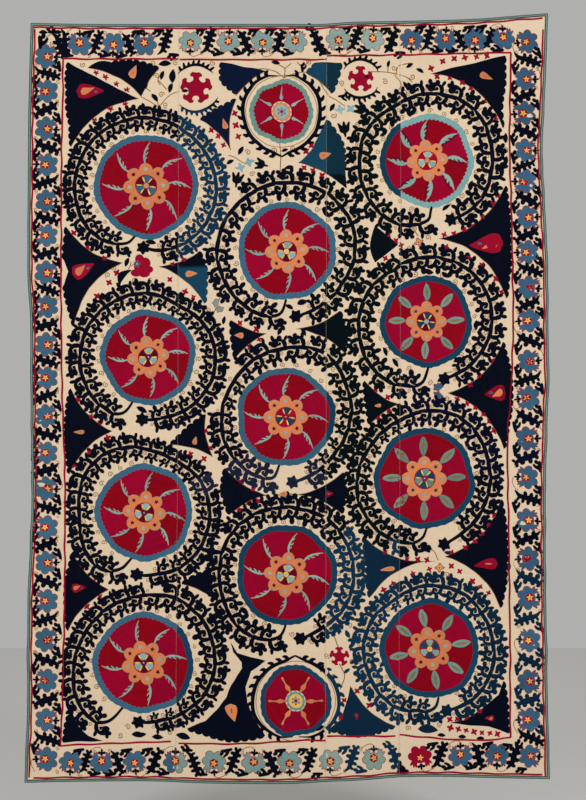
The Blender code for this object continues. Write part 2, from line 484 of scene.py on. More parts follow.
def points_inside(loops, edge, grid):
    """A row of points that far inside the loops, and a net of points inside that where grid is given."""
    inner = []
    for loop in loops:
        along = np.roll(loop, -1, axis=0) - np.roll(loop, 1, axis=0)
        along /= np.maximum(np.hypot(along[:, 0], along[:, 1]), 1e-9)[:, None]
        inner.append(loop + np.column_stack((-along[:, 1], along[:, 0])) * edge)
    inner = np.vstack(inner)
    inner = inner[inside(inner, loops)]
    if len(inner):
        inner = inner[clearance(inner, loops) > 0.8 * edge]
    if grid:
        rim = np.vstack(loops)
        low, high = rim.min(axis=0), rim.max(axis=0)
        gx, gz = np.meshgrid(np.arange(low[0], high[0], grid), np.arange(low[1], high[1], grid * 0.87))
        gx[1::2] += grid / 2
        net = np.column_stack((gx.ravel(), gz.ravel()))
        net = net[inside(net, loops)]
        if len(net):
            net = net[clearance(net, loops) > edge + grid * 0.4]
        inner = np.vstack((inner, net))
    return inner


def patch(thread, shapes, top, edge=1.8, grid=0.0, lay=0.0, whole=False, under=None):
    """A closed patch of laid silk: a raised front with a lower edge, walls, and a back.

    It goes through the cloth, and work on top of other work only into that.
    """
    if under is None:
        under = BURIED if top > LOWEST_ON_TOP else UNDERSIDE
    loops = [np.asarray(s, float) for s in shapes] if whole else joined_outline(shapes)
    rim = np.vstack(loops)
    links, first = [], 0
    for loop in loops:
        n = len(loop)
        links += [(first + i, first + (i + 1) % n) for i in range(n)]
        first += n
    flat, tris, sources = faces_within(np.vstack((rim, points_inside(loops, edge, grid))), links, loops)
    on_rim = np.array([any(s < len(rim) for s in source) or not source for source in sources])
    outer = rim_edges(tris)
    if grid:
        back_of = np.arange(len(flat)) + len(flat)
        back_flat = flat
        back_tris = tris[:, ::-1] + len(flat)
    else:
        kept = sorted({a for link in outer for a in link})
        back_of = np.zeros(len(flat), int)
        back_of[kept] = np.arange(len(kept)) + len(flat)
        back_flat = flat[kept]
        _, _, plain, origin, *_ = delaunay_2d_cdt(
            [Vector(p) for p in back_flat],
            [(int(back_of[a]) - len(flat), int(back_of[b]) - len(flat)) for a, b in outer], [], 0, NEAREST)
        first_of = [o[0] if o else 0 for o in origin]
        plain = np.array([[first_of[i] for i in t] for t in plain if len(t) == 3])
        plain = plain[inside(back_flat[plain].mean(axis=1), loops)]
        back_tris = plain[:, ::-1] + len(flat)
    walls = []
    for a, b in outer:
        walls.append((a, back_of[a], back_of[b]))
        walls.append((a, back_of[b], b))
    lift = np.where(on_rim, top - EDGE_DROP, top)
    front = np.column_stack((flat[:, 0], lift, flat[:, 1]))
    back = np.column_stack((back_flat[:, 0], np.full(len(back_flat), under), back_flat[:, 1]))
    all_flat = np.vstack((flat, back_flat))
    c, s = cos(radians(lay)), sin(radians(lay))
    return {
        "points": np.vstack((front, back)),
        "tris": np.vstack((tris, back_tris, np.array(walls, int))),
        "rim": np.r_[np.where(on_rim, 0.0, 1.0), np.full(len(back_flat), -1.0)],
        "lay": np.column_stack((all_flat @ (c, s), all_flat @ (-s, c))),
        "thread": np.full(len(all_flat), THREADS.index(thread)),
    }


def together(patches):
    """Several patches as one motif."""
    tris, first = [], 0
    for p in patches:
        tris.append(p["tris"] + first)
        first += len(p["points"])
    motif = {key: np.concatenate([p[key] for p in patches])
             for key in ("points", "rim", "lay", "thread")}
    motif["tris"] = np.vstack(tris)
    return motif


def mirrored(motif):
    """The motif seen in a mirror, left to right."""
    turned = dict(motif)
    turned["points"] = motif["points"] * (-1, 1, 1)
    turned["tris"] = motif["tris"][:, ::-1]
    return turned


WORK = []
SEWER = random.Random(11)


def sew(motif, across=0.0, up=0.0, turn=0.0, size=1.0, tone=None):
    """Work one motif into the cloth."""
    points = motif["points"].copy()
    points[:, [0, 2]] = moved(points[:, [0, 2]], across, up, turn, size)
    count = len(points)
    if tone is None:
        tone = SEWER.uniform(-1, 1)
    if across or up:
        home = np.tile((across, up), (count, 1))
    else:
        home = points[:, [0, 2]].copy()
    WORK.append({"points": points, "tris": motif["tris"], "rim": motif["rim"],
                 "lay": motif["lay"] + SEWER.uniform(0, 900), "thread": motif["thread"],
                 "home": home, "tone": np.full(count, tone)})


# Wiring of nodes, for the repeats and for the materials
class Wire:
    """A socket. Sums on it add Math nodes, and node adds any other."""

    def __init__(self, tree, socket=None):
        self.tree = tree
        self.socket = socket

    def node(self, kind, settings=None, values=None, result=0):
        made = self.tree.nodes.new(kind)
        for name, value in (settings or {}).items():
            setattr(made, name, value)
        for name, value in (values or {}).items():
            if isinstance(value, Wire):
                self.tree.links.new(value.socket, made.inputs[name])
            else:
                made.inputs[name].default_value = value
        return Wire(self.tree, made.outputs[result])

    def maths(self, operation, *others):
        return self.node("ShaderNodeMath", {"operation": operation}, dict(enumerate(others)))

    def __add__(self, other):
        return self.maths("ADD", self, other)

    def __sub__(self, other):
        return self.maths("SUBTRACT", self, other)

    def __rsub__(self, other):
        return self.maths("SUBTRACT", other, self)

    def __mul__(self, other):
        return self.maths("MULTIPLY", self, other)

    def __truediv__(self, other):
        return self.maths("DIVIDE", self, other)

    __radd__ = __add__
    __rmul__ = __mul__

    def held(self):
        """Kept from 0 to 1."""
        return self.node("ShaderNodeClamp", values={"Value": self})

    def wave(self, pitch):
        """A soft ridge every pitch."""
        return self.maths("SINE", self * (2 * pi / pitch)) * 0.5 + 0.5

    def noise(self, vector, detail):
        return self.node("ShaderNodeTexNoise", values={"Vector": vector, "Scale": 1.0, "Detail": detail})

    def vector(self, x, y, z=0.0):
        return self.node("ShaderNodeCombineXYZ", values={"X": x, "Y": y, "Z": z})

    def mixed(self, share, first, second, way="MIX"):
        """Two colours mixed."""
        made = self.tree.nodes.new("ShaderNodeMix")
        made.data_type = "RGBA"
        made.blend_type = way
        for socket, value in ((made.inputs[0], share), (made.inputs[6], first), (made.inputs[7], second)):
            if isinstance(value, Wire):
                self.tree.links.new(value.socket, socket)
            else:
                socket.default_value = value
        return Wire(self.tree, made.outputs[2])

    def fact(self, name, result):
        return self.node("ShaderNodeAttribute", {"attribute_name": name}, result=result)

    def parts(self, vector):
        """The three numbers of a vector."""
        apart = self.node("ShaderNodeSeparateXYZ", values={"Vector": vector})
        return [Wire(self.tree, output) for output in apart.socket.node.outputs]


def repeat_tree():
    """Sets a motif on every place: its number, turn and size are kept with the place."""
    tree = bpy.data.node_groups.new("repeated motifs", "GeometryNodeTree")
    asked = {"Places": "Geometry", "Motifs": "Collection", "Motif size": "Float", "Silk": "Material"}
    for name, kind in asked.items():
        tree.interface.new_socket(name, in_out="INPUT", socket_type="NodeSocket" + kind)
    tree.interface.new_socket("Sewn", in_out="OUTPUT", socket_type="NodeSocketGeometry")
    wire = Wire(tree)
    given = tree.nodes.new("NodeGroupInput")
    places, motifs, motif_size, silk = (Wire(tree, given.outputs[name]) for name in asked)

    def kept(name, kind):
        return wire.node("GeometryNodeInputNamedAttribute", {"data_type": kind}, {"Name": name})

    motif = wire.node("GeometryNodeCollectionInfo", values={
        "Collection": motifs, "Separate Children": True, "Reset Children": True})
    size = kept("size", "FLOAT") * motif_size
    sown = wire.node("GeometryNodeInstanceOnPoints", values={
        "Points": places, "Instance": motif, "Pick Instance": True, "Instance Index": kept("motif", "INT"),
        "Rotation": wire.vector(0.0, kept("turn", "FLOAT")), "Scale": wire.vector(size, 1.0, size)})
    real = wire.node("GeometryNodeRealizeInstances", values={"Geometry": sown})
    finish = wire.node("GeometryNodeSetMaterial", values={"Geometry": real, "Material": silk})
    done = tree.nodes.new("NodeGroupOutput")
    tree.links.new(finish.socket, done.inputs["Sewn"])
    return tree


REPEATS = repeat_tree()
POINT_FACTS = (("rim", "FLOAT", "value"), ("lay", "FLOAT_VECTOR", "vector"),
               ("home", "FLOAT_VECTOR", "vector"), ("tone", "FLOAT", "value"),
               ("thread", "INT", "value"))


def set_fact(mesh, name, kind, part, values):
    fact = mesh.attributes.new(name, kind, "POINT")
    if kind == "FLOAT_VECTOR":
        values = np.column_stack((values, np.zeros(len(values))))
    fact.data.foreach_set(part, np.ascontiguousarray(values).ravel())


def get_fact(mesh, name, kind, part):
    count = len(mesh.vertices)
    width = 3 if kind == "FLOAT_VECTOR" else 1
    values = np.zeros(count * width, np.int32 if kind == "INT" else np.float32)
    mesh.attributes[name].data.foreach_get(part, values)
    return values.reshape(count, width)[:, :2] if width == 3 else values


def mesh_of(name, points, tris):
    mesh = bpy.data.meshes.new(name)
    mesh.from_pydata(np.asarray(points, float).tolist(), [], np.asarray(tris).tolist())
    return mesh


def points_of(mesh):
    """The places of a mesh's points."""
    points = np.zeros(len(mesh.vertices) * 3, np.float32)
    mesh.vertices.foreach_get("co", points)
    return points.reshape(-1, 3)


def corners_of(mesh):
    """The point at each corner of a mesh's faces."""
    corners = np.zeros(len(mesh.loops), np.int32)
    mesh.loops.foreach_get("vertex_index", corners)
    return corners


def in_scene(name, data):
    """A new object in the scene."""
    thing = bpy.data.objects.new(name, data)
    bpy.context.scene.collection.objects.link(thing)
    return thing


def as_piece(name, mesh, finish, sharp):
    """A finished piece of the cloth, smooth where its faces meet at less than that angle."""
    mesh.materials.append(finish)
    mesh.shade_smooth()
    mesh.set_sharp_from_angle(angle=radians(sharp))
    piece = in_scene(name, mesh)
    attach(piece, "root")
    return piece


def repeat(name, motifs, places):
    """Work motifs again and again. Places are (motif, across, up, turn, size)."""
    group = bpy.data.collections.new(name)
    for number, motif in enumerate(motifs):
        mesh = mesh_of("motif", motif["points"], motif["tris"])
        for fact, kind, part in POINT_FACTS:
            if fact in motif:
                set_fact(mesh, fact, kind, part, motif[fact])
        group.objects.link(bpy.data.objects.new(f"{name}_{number:02d}", mesh))
    spots = mesh_of("places", [(x, 0.0, up) for _, x, up, _, _ in places], [])
    for fact, values in (("turn", [-radians(p[3]) for p in places]), ("size", [p[4] for p in places]),
                         ("tone", [SEWER.uniform(-1, 1) for _ in places])):
        set_fact(spots, fact, "FLOAT", "value", np.array(values, float))
    set_fact(spots, "motif", "INT", "value", np.array([p[0] for p in places]))
    set_fact(spots, "home", "FLOAT_VECTOR", "vector", np.array([(p[1], p[2]) for p in places], float))
    holder = in_scene(name, spots)
    repeats = holder.modifiers.new("Repeats", "NODES")
    repeats.node_group = REPEATS
    sockets = {s.name: s.identifier for s in REPEATS.interface.items_tree if s.in_out == "INPUT"}
    repeats[sockets["Motifs"]] = group
    repeats[sockets["Motif size"]] = 1.0
    repeats[sockets["Silk"]] = SILK
    graph = bpy.context.evaluated_depsgraph_get()
    sewn = bpy.data.meshes.new_from_object(holder.evaluated_get(graph))
    facts = {fact: get_fact(sewn, fact, kind, part) for fact, kind, part in POINT_FACTS}
    facts["lay"] = facts["lay"] + facts["home"][:, :1] * 1.7
    WORK.append({"points": points_of(sewn), "tris": corners_of(sewn).reshape(-1, 3), **facts})
    bpy.data.objects.remove(holder)
    for thing in list(group.objects):
        bpy.data.objects.remove(thing)
    bpy.data.collections.remove(group)


# Materials
def new_finish(name, roughness, sheen):
    """A new material for cloth or thread, with nothing joined to its shader yet."""
    material = bpy.data.materials.new(name)
    material.use_nodes = True
    shader = material.node_tree.nodes["Principled BSDF"]
    shader.inputs["Roughness"].default_value = roughness
    shader.inputs["Specular IOR Level"].default_value = 0.02
    shader.inputs["Sheen Weight"].default_value = sheen
    shader.inputs["Sheen Roughness"].default_value = 0.4
    return material, Wire(material.node_tree), shader


def join_up(wire, source, shader, socket):
    wire.tree.links.new(source.socket, shader.inputs[socket])


# Silk: from strand to strand, and from one row of couching stitches and one stitch to the next
STRAND_PITCH = 1.1
COUCHING_ROW = 2.2
COUCHING_PITCH = 7.0
YARN_PITCH = 0.0011  # cotton is measured in metres


def silk_finish():
    """Laid silk: fine strands, small couching stitches over them, streaky dye and a soft sheen. Its colour
    also carries painted shade between the strands and at each couching stitch, and a painted highlight
    along each strand.
    """
    material, wire, shader = new_finish("laid silk", 0.5, 0.0)
    along, over, _ = wire.parts(wire.fact("lay", 1))
    rim = wire.fact("rim", 2)
    body = wire.fact("dye", 0)
    outline = wire.fact("edge dye", 0)
    strands = over.wave(STRAND_PITCH)
    streaks = wire.noise(wire.vector(along * 0.05, over * 0.9), 3.0)
    lots = wire.noise(wire.vector(along * 0.004, over * 0.06), 2.0)
    row = wire.maths("FLOOR", over / COUCHING_ROW)
    step = wire.maths("FRACT", along / COUCHING_PITCH + row * 0.37)
    couching = (1.0 - wire.maths("ABSOLUTE", step - 0.5) * 16.0).held()
    worked = ((rim - 0.42) * 5.0).held()
    dye = wire.mixed(worked, outline, body)
    dark = wire.mixed(1.0, dye, (0.62, 0.62, 0.64, 1.0), "MULTIPLY")
    light = wire.mixed(1.0, dye, (1.32, 1.3, 1.26, 1.0), "MULTIPLY")
    # Painted shade and highlight: the strands term lightens each strand and darkens between them, and the
    # couching term darkens each couching stitch; the streaks and lots are the silk's own uneven tone.
    shade = (streaks * 0.75 + lots * 0.5 + strands * 0.12 - 0.2 - couching * 0.22).held()
    front = wire.mixed(shade, dark, light)
    ticks = ((step - 0.55) * 12.0).held() * ((over.wave(COUCHING_ROW) - 0.3) * 5.0).held()
    back = wire.mixed(ticks, (0.62, 0.5, 0.34, 1.0), dye)
    behind = ((0.0 - rim - 0.6) * 8.0).held()
    join_up(wire, wire.mixed(behind, front, back), shader, "Base Color")
    relief = wire.node("ShaderNodeBump", values={
        "Strength": 0.45, "Distance": 0.0005,
        "Height": strands * 0.5 + streaks * 0.6 - couching * 0.7})
    join_up(wire, relief, shader, "Normal")
    join_up(wire, 0.42 + streaks * 0.25, shader, "Roughness")
    return material


def cotton_finish():
    """Handwoven cotton: plain weave, thicker yarns here and there, and soft old stains."""
    material, wire, shader = new_finish("handwoven cotton", 0.85, 0.25)
    spot = wire.node("ShaderNodeTexCoord", result=3)
    across, _, up = wire.parts(spot)
    weave = across.wave(YARN_PITCH) * up.wave(YARN_PITCH)
    weft = wire.noise(wire.vector(across * 6.0, up * 420.0), 2.0)
    warp = wire.noise(wire.vector(across * 420.0, up * 6.0), 2.0)
    stains = wire.noise(wire.vector(across * 3.0, up * 3.0), 4.0)
    clean = wire.mixed((weft * 0.55 + warp * 0.55 - 0.05).held(), (0.6, 0.455, 0.31, 1.0),
                       (0.745, 0.595, 0.425, 1.0))
    aged = wire.mixed(((stains - 0.52) * 2.2).held() * 0.5, clean, (0.57, 0.41, 0.25, 1.0))
    join_up(wire, aged, shader, "Base Color")
    relief = wire.node("ShaderNodeBump", values={
        "Strength": 0.5, "Distance": 0.0004, "Height": weave + weft * 0.7 + warp * 0.7})
    join_up(wire, relief, shader, "Normal")
    return material


def braid_finish():
    """Narrow woven braid, striped along its length: dark edges, grey-teal bands and a pale line. Its colour
    also carries painted shade and highlight across each weft pick.
    """
    material, wire, shader = new_finish("woven braid", 0.75, 0.2)
    inward, along, _ = wire.parts(wire.fact("lay", 1))
    stripes = wire.node("ShaderNodeValToRGB", values={"Fac": inward})
    ramp = stripes.socket.node.color_ramp
    ramp.interpolation = "CONSTANT"
    bands = [(0.0, (34, 54, 54)), (0.17, (92, 120, 112)), (0.42, (160, 178, 166)),
             (0.5, (86, 114, 106)), (0.74, (30, 48, 50)), (0.9, (62, 84, 80))]
    for number, (start, shade) in enumerate(bands):
        stop = ramp.elements[number] if number < 2 else ramp.elements.new(start)
        stop.position = start
        stop.color = (*colour(*shade), 1.0)
    picks = along.wave(1.3)
    cords = inward.wave(0.1)
    wear = wire.noise(wire.vector(inward * 3.0, along * 0.06), 3.0)
    # Painted shade and highlight: the picks term lightens and darkens the colour across each weft pick; the
    # wear noise is the braid's own uneven tone.
    shade = (picks * 0.35 + wear * 0.9 - 0.1).held()
    dark = wire.mixed(1.0, stripes, (0.66, 0.66, 0.66, 1.0), "MULTIPLY")
    light = wire.mixed(1.0, stripes, (1.25, 1.25, 1.22, 1.0), "MULTIPLY")
    join_up(wire, wire.mixed(shade, dark, light), shader, "Base Color")
    relief = wire.node("ShaderNodeBump", values={
        "Strength": 0.6, "Distance": 0.0006, "Height": picks * 0.6 + cords})
    join_up(wire, relief, shader, "Normal")
    return material


SILK = silk_finish()
COTTON = cotton_finish()
BRAID = braid_finish()


# Small motifs, each drawn at its own origin
def rounded(corners, step=4.0):
    """A closed outline on a smooth curve through its corners."""
    corners = np.array(corners, float)
    line = smooth_line(np.vstack((corners[-2:], corners, corners[:2])), step)
    first = np.argmin(np.hypot(*(line - corners[0]).T))
    back = len(line) - 1 - np.argmin(np.hypot(*(line[::-1] - corners[0]).T))
    return line[first:back]


STEM = stroke([(0, -4), (-1, 8), (3, 19)], [11, 13, 15], 6)


def vine_leaf(lobes):
    """A hooked leaf: it leaves the vine at the origin, and its body lies back along the vine, on +x."""
    curl = stroke([(27, 1.5), (15, 2.5), (9, 7), (8.5, 14), (12.5, 18.5), (18, 18), (19, 13.5)],
                  [2.4, 3.2, 3.6, 3.6, 3.4, 3.2, 2.8], 5)
    parts = [STEM] + [ellipse(*lobe, count=12) for lobe in lobes]
    return together([patch("leaf", parts, FIRST_LAYER, edge=1.5, lay=20),
                     patch("curl", [curl], FIRST_LAYER + 0.12, edge=1.0)])


# Lobes of each leaf: across, up, half widths, turn
OUTER_LOBES = [
    [(19, 19, 19, 13), (30, 9, 11, 8.5), (1, 30, 5.5, 10.5, 8), (42, 20, 8, 7, 30), (38, 30, 6, 9, -30)],
    [(20, 18, 19, 13), (31, 9, 11, 8), (-5, 28, 5.5, 10, 35), (14, 31, 8, 7.5), (36, 30, 6.5, 9.5, -15),
     (43, 16, 6.5, 7)],
    [(19, 18, 19, 13), (29, 9, 10.5, 8), (4, 32, 6, 9), (42, 24, 8.5, 7, 20), (40, 12, 6.5, 6),
     (26, 30, 7.5, 8)],
]
INNER_LOBES = [
    [(16, 19, 16, 12.5), (21, 11, 9.5, 8.5), (17, 36, 8, 11), (34, 24, 8.5, 7.5, 10), (-3, 28, 6, 9, 35)],
    [(16, 18, 16, 12.5), (20, 11, 9.5, 8.5), (23, 35, 7.5, 12, -25), (0, 32, 6.5, 9.5), (33, 21, 8.5, 7)],
    [(16, 18, 16, 12.5), (21, 11, 9.5, 8.5), (10, 35, 8, 11, 14), (32, 28, 7, 9.5, -35),
     (-6, 24, 9, 5.5, -20)],
]
OUTER_LEAVES = [mirrored(vine_leaf(lobes)) for lobes in OUTER_LOBES]
INNER_LEAVES = [vine_leaf(lobes) for lobes in INNER_LOBES]
SPIRALS = [patch("brown", [coil(10.5, 1.3, 3.0, 40 * k, 1 if k % 2 else -1)], STEM_LAYER)
           for k in range(3)]
LENS_LEAF = patch("leaf", [moved(lens(36, 16, 1.5), -18)], FIRST_LAYER, edge=1.4, lay=8)
FLORET = patch("crimson", [moved(star(4, 12, 6, 5), turn=45), ellipse(0, 0, 6, 6, count=8)],
               FIRST_LAYER, edge=1.2)
SPRIG = patch("crimson", [stroke([(-8, 0), (0, 0), (10, 1)], [6, 7, 4]),
                          stroke([(0, 0), (5, 9)], [7, 5]), stroke([(-1, 0), (-7, 9)], [7, 5]),
                          stroke([(0, 0), (3, -9)], [7, 5])], FIRST_LAYER, edge=1.2)
BIRD_FOOT = patch("leaf", [stroke([(0, -17), (1, -2), (-1, 13)], [9, 13, 9]),
                           stroke([(2, -6), (12, -1), (18, 8)], [12, 10, 7]),
                           ellipse(8, 14, 6, 8, -25, 10)], FIRST_LAYER, edge=1.4)
SPRAY = patch("leaf", [
    stroke([(-38, -12), (-26, -7), (-8, 1), (10, 6), (26, 13), (40, 30)], [17, 20, 20, 18, 13, 4]),
    ellipse(-42, -19, 8, 6, 40, 10), ellipse(-45, -6, 7.5, 6, -20, 10), ellipse(-31, 5, 6.5, 9, 15, 10),
    ellipse(-14, 12, 7, 9.5, 10, 10), ellipse(5, 18, 6.5, 9, -20, 10), ellipse(-23, -19, 7, 8, -15, 10),
    ellipse(-4, -12, 7, 10, 15, 10), ellipse(14, -6, 6.5, 9.5, 25, 10), ellipse(30, 3, 5.5, 8, 35, 10),
], FIRST_LAYER, edge=1.4, lay=20)

ROUND_SPRAY = patch("leaf", [
    stroke([(-40, -20), (-24, -7), (0, 1), (22, 9), (40, 27)], [10, 19, 22, 18, 5]),
    ellipse(-30, 7, 9, 9.5, 20, 12), ellipse(-7, 14, 8, 9.5, count=12), ellipse(19, 20, 7.5, 9, -20, 12),
    ellipse(-15, -14, 9, 9.5, count=12), ellipse(11, -10, 8.5, 10.5, 20, 12), ellipse(31, 4, 7, 10, 35, 12),
    ellipse(-45, -9, 7.5, 6, -30, 12), ellipse(-33, -25, 7, 6, 30, 12),
], FIRST_LAYER, edge=1.4, lay=20)


def border_flower():
    """A flower of the border rows, seen with its notch to the right."""
    petals = [ellipse(0, 0, 22, 22, count=20)]
    for angle in (-150, -98, 98, 150):
        a = radians(angle)
        petals.append(ellipse(26.5 * cos(a), 26.5 * sin(a), 14.5, 14, angle, 16))
    for hand in (-1, 1):
        petals.append(stroke([(4, 14 * hand), (19, 19 * hand), (34, 16 * hand)], [22, 16, 5]))
        petals.append(stroke([(14, 20 * hand), (32, 26 * hand)], [14, 5]))
        petals.append(stroke([(12, 22 * hand), (24, 35 * hand)], [14, 6]))
    bud = [ellipse(30, 0, 8, 5.6, count=10), ellipse(33, 8, 5.4, 5.6, 20, 8),
           ellipse(33, -8, 5.4, 5.6, -20, 8), ellipse(40, 0, 6, 4, count=8)]
    stem = stroke([(45, 0), (51, 10), (48, 26), (38, 42)], [2.6, 2.6, 2.6, 2], 7)
    heart = moved(star(6, 16, 13, 4), across=3)
    return together([
        patch("petal", petals, FIRST_LAYER, edge=3.6, lay=90),
        patch("crimson", [heart], SECOND_LAYER, edge=2.0),
        patch("yellow", [moved(star(5, 12.5, 4.6, 4, 20), across=3.5)], THIRD_LAYER, edge=1.2),
        patch("orange", [ellipse(4, 0, 2.8, 2.8, count=8)], FOURTH_LAYER, edge=0.8),
        patch("leaf", bud, FIRST_LAYER, edge=1.3),
        patch("brown", [stem], STEM_LAYER)])


FLOWER = border_flower()

# Roundels: across, below, ring radius, ring thread, kind of leaves, first leaf's angle, medallion
ROUNDELS = {
    "left_1": (-467, 535, 172, "steel", "feather", 3, ("plum", "steel", "yellow", "orange")),
    "left_2": (-461, 1099, 157, "steel", "feather", 8, ("plum", "pale blue", "yellow", "plum")),
    "left_3": (-474, 1612, 160, "steel", "feather", -5, ("plum", "pale blue", "yellow", "plum")),
    "left_4": (-476, 2108, 166, "steel", "feather", 12, ("plum", "pale blue", "yellow", "plum")),
    "middle_1": (-4, 750, 162, "steel", "feather", 4, ("plum", "pale blue", "yellow", "yellow")),
    "middle_2": (-8, 1297, 162, "steel", "feather", 0, ("medallion", "deep blue", "yellow", "crimson")),
    "middle_3": (-5, 1817, 166, "deep blue", "feather", -6, ("plum", "pale blue", "yellow", "yellow")),
    "right_1": (459, 451, 154, "deep blue", "broad", 6, ("crimson", "pale blue", "yellow", "orange")),
    "right_2": (457, 982, 151, "deep blue", "spindle", 0, ("plum", "deep blue", "yellow", "pale blue")),
    "right_3": (450, 1500, 166, "deep blue", "spindle", 0, ("deep blue", "spindle", "yellow", "crimson")),
    "right_4": (468, 2062, 163, "deep blue", "spindle", 10, ("deep blue", "feather", "crimson", "yellow")),
}
DRAWN_RADIUS = 172  # the leaves and flowers inside a ring are drawn for one of this radius
DRAWN_PIN_RADIUS = 92
HUB_RADIUS = 34
BAND_RADIUS = 284.0  # the fields are hollowed round a roundel and its vine


def ring_leaf(kind):
    """A leaf that reaches from the flower to the ring, lying along x."""
    if kind == "spindle":
        oval, vein = moved(lens(76, 30), across=72), moved(lens(50, 10), across=85)
        return together([patch("spindle", [oval], SECOND_LAYER, edge=2.2, lay=90),
                         patch("brown", [vein], SECOND_LAYER + 0.12, edge=1.4)])
    wide = 1.0 if kind == "feather" else 1.7
    spine = [(76, 4), (92, 6), (110, 3), (130, -6), (149, -18)]
    teeth = [stroke(spine, [5 * wide, 8 * wide, 7 * wide, 5 * wide, 2])]
    for x, z, dx, dz in ((90, 4, 9, -8), (103, 2, 11, -11), (121, -4, 9, -7)):
        bend = (x + dx * 0.4, z + dz * 0.7 * wide ** 0.5)
        teeth.append(stroke([(x, z), bend, (x + dx, z + dz * wide ** 0.5)], [6 * wide, 4.5 * wide, 2]))
    shade = stroke([(78, -4), (98, -9), (124, -16), (148, -21)], [8, 13, 11, 3])
    leaf = patch("feather", teeth, SECOND_LAYER + 0.1, edge=1.5, lay=0)
    if kind == "feather":
        return leaf
    return together([patch("plum", [shade], SECOND_LAYER - 0.08, edge=2.0, lay=70), leaf])


RING_LEAVES = {kind: ring_leaf(kind) for kind in ("feather", "broad", "spindle")}
PIN = patch("pale blue", [
    ellipse(48, 0, 9, 6.5, count=12), stroke([(52, 0), (62, 1), (84, 0)], [9, 4.5, 2.4]),
], SECOND_LAYER + 0.1, edge=1.5)
ORANGE_PIN = patch("orange", [
    stroke([(32, 0), (42, 0)], [6, 9]), ellipse(46, 0, 10, 7.2, count=12),
    stroke([(50, 0), (61, 0), (79, 0)], [9, 3.8, 8]),
], SECOND_LAYER + 0.1, edge=1.5)


def sway(angle, phase):
    """How far a ring strays from a true round, as it was drawn by hand."""
    return (2.6 * np.sin(3 * angle + phase) + 1.8 * np.sin(5 * angle + 2.3 * phase)
            + 1.6 * np.sin(8 * angle - phase))


def wheel(radius, scallops, sectors, first, phase):
    """The red wheel inside a ring: sectors in two reds, with a scalloped edge."""
    for k in range(sectors):
        start, end = radians(first + 360 / sectors * k), radians(first + 360 / sectors * (k + 1))
        t = np.linspace(start, end, 44)
        bumps = np.abs(np.sin((t - radians(first)) * scallops / 2))
        rim = radius + 4.2 * bumps ** 0.8 - 2.4 + sway(t, phase)
        outer = np.column_stack((rim * np.cos(t), rim * np.sin(t)))
        sides = np.linspace(radius - 8, HUB_RADIUS, 11)[:, None]
        last = sides * (cos(end), sin(end))
        home = sides[::-1] * (cos(start), sin(start))
        arc = np.linspace(end, start, 6)[1:-1]
        hub = np.column_stack((HUB_RADIUS * np.cos(arc), HUB_RADIUS * np.sin(arc)))
        shape = np.vstack((outer, last, hub, home))
        yield patch("red" if k % 2 else "wine", [shape], FIRST_LAYER + 0.12, edge=1.2, grid=15,
                    lay=degrees((start + end) / 2) + 90, whole=True)


def ring(thread, radius, inner, waves, phase):
    """A ring round a wheel, a little wavy on the outside."""
    a = 2 * pi * np.arange(120) / 120
    outer = radius + 1.3 * np.sin(waves * a) + sway(a, phase)
    b = a[::-1]
    inner = inner + sway(b, phase)
    return patch(thread, [np.column_stack((outer * np.cos(a), outer * np.sin(a))),
                          np.column_stack((inner * np.cos(b), inner * np.sin(b)))],
                 FIRST_LAYER, edge=2.0, grid=9, whole=True, lay=35)


def hoop(thread, radius, wide):
    """A thin ring of stitches."""
    a = 2 * pi * np.arange(90) / 90
    outer = np.column_stack((np.cos(a), np.sin(a))) * (radius + wide / 2)
    inner = outer[::-1] * ((radius - wide / 2) / (radius + wide / 2))
    return patch(thread, [outer, inner], STEM_LAYER, whole=True)


def rosette_flower(first, star_thread):
    """The orange flower in the middle of a wheel, its lobes carrying small blossoms."""
    petals = [ellipse(0, 0, 54, 54, count=48)]
    marks = []
    for k in range(8):
        a = radians(first + 45 * k)
        petals.append(ellipse(52.5 * cos(a), 52.5 * sin(a), 24, 22.5, degrees(a), count=20))
        blossom = star_thread if k % 2 else "pale blue"
        arms = moved(star(5, 9.5, 5, 4, 90), 55 * cos(a), 55 * sin(a), first + 45 * k)
        marks.append(patch(blossom, [arms], THIRD_LAYER, edge=1.2))
    return [patch("orange", petals, SECOND_LAYER + 0.12, edge=4.6, grid=14, lay=30)] + marks


def medallion(threads, first):
    """The little wheel in the heart of the flower: petals in two colours, darts between, and a dot."""
    even, odd, dart, dot = threads
    parts = [patch("medallion", [ellipse(0, 0, 38, 38, count=40)], THIRD_LAYER, edge=2.0, lay=0)]
    for k in range(6):
        a = first + 60 * k
        petal = [(7, 0), (15, -9), (26, -15), (33, -9), (35, 0), (33, 9), (26, 15), (15, 9)]
        parts.append(patch(odd if k % 2 else even, [moved(petal, turn=a)], FOURTH_LAYER,
                           edge=1.4, lay=a, whole=True))
        parts.append(patch(dart, [moved(lens(22, 6), *moved([(11, 0)], turn=a + 30)[0], a + 30)],
                           FOURTH_LAYER + 0.12, edge=1.0))
    parts.append(patch(dot, [ellipse(0, 0, 9, 9, count=14)], FOURTH_LAYER + 0.2, edge=1.2))
    eye = ellipse(0, 0, 3.5, 3.5, count=8)
    parts.append(patch("pale blue", [eye], FOURTH_LAYER + 0.35, edge=0.8))
    return parts


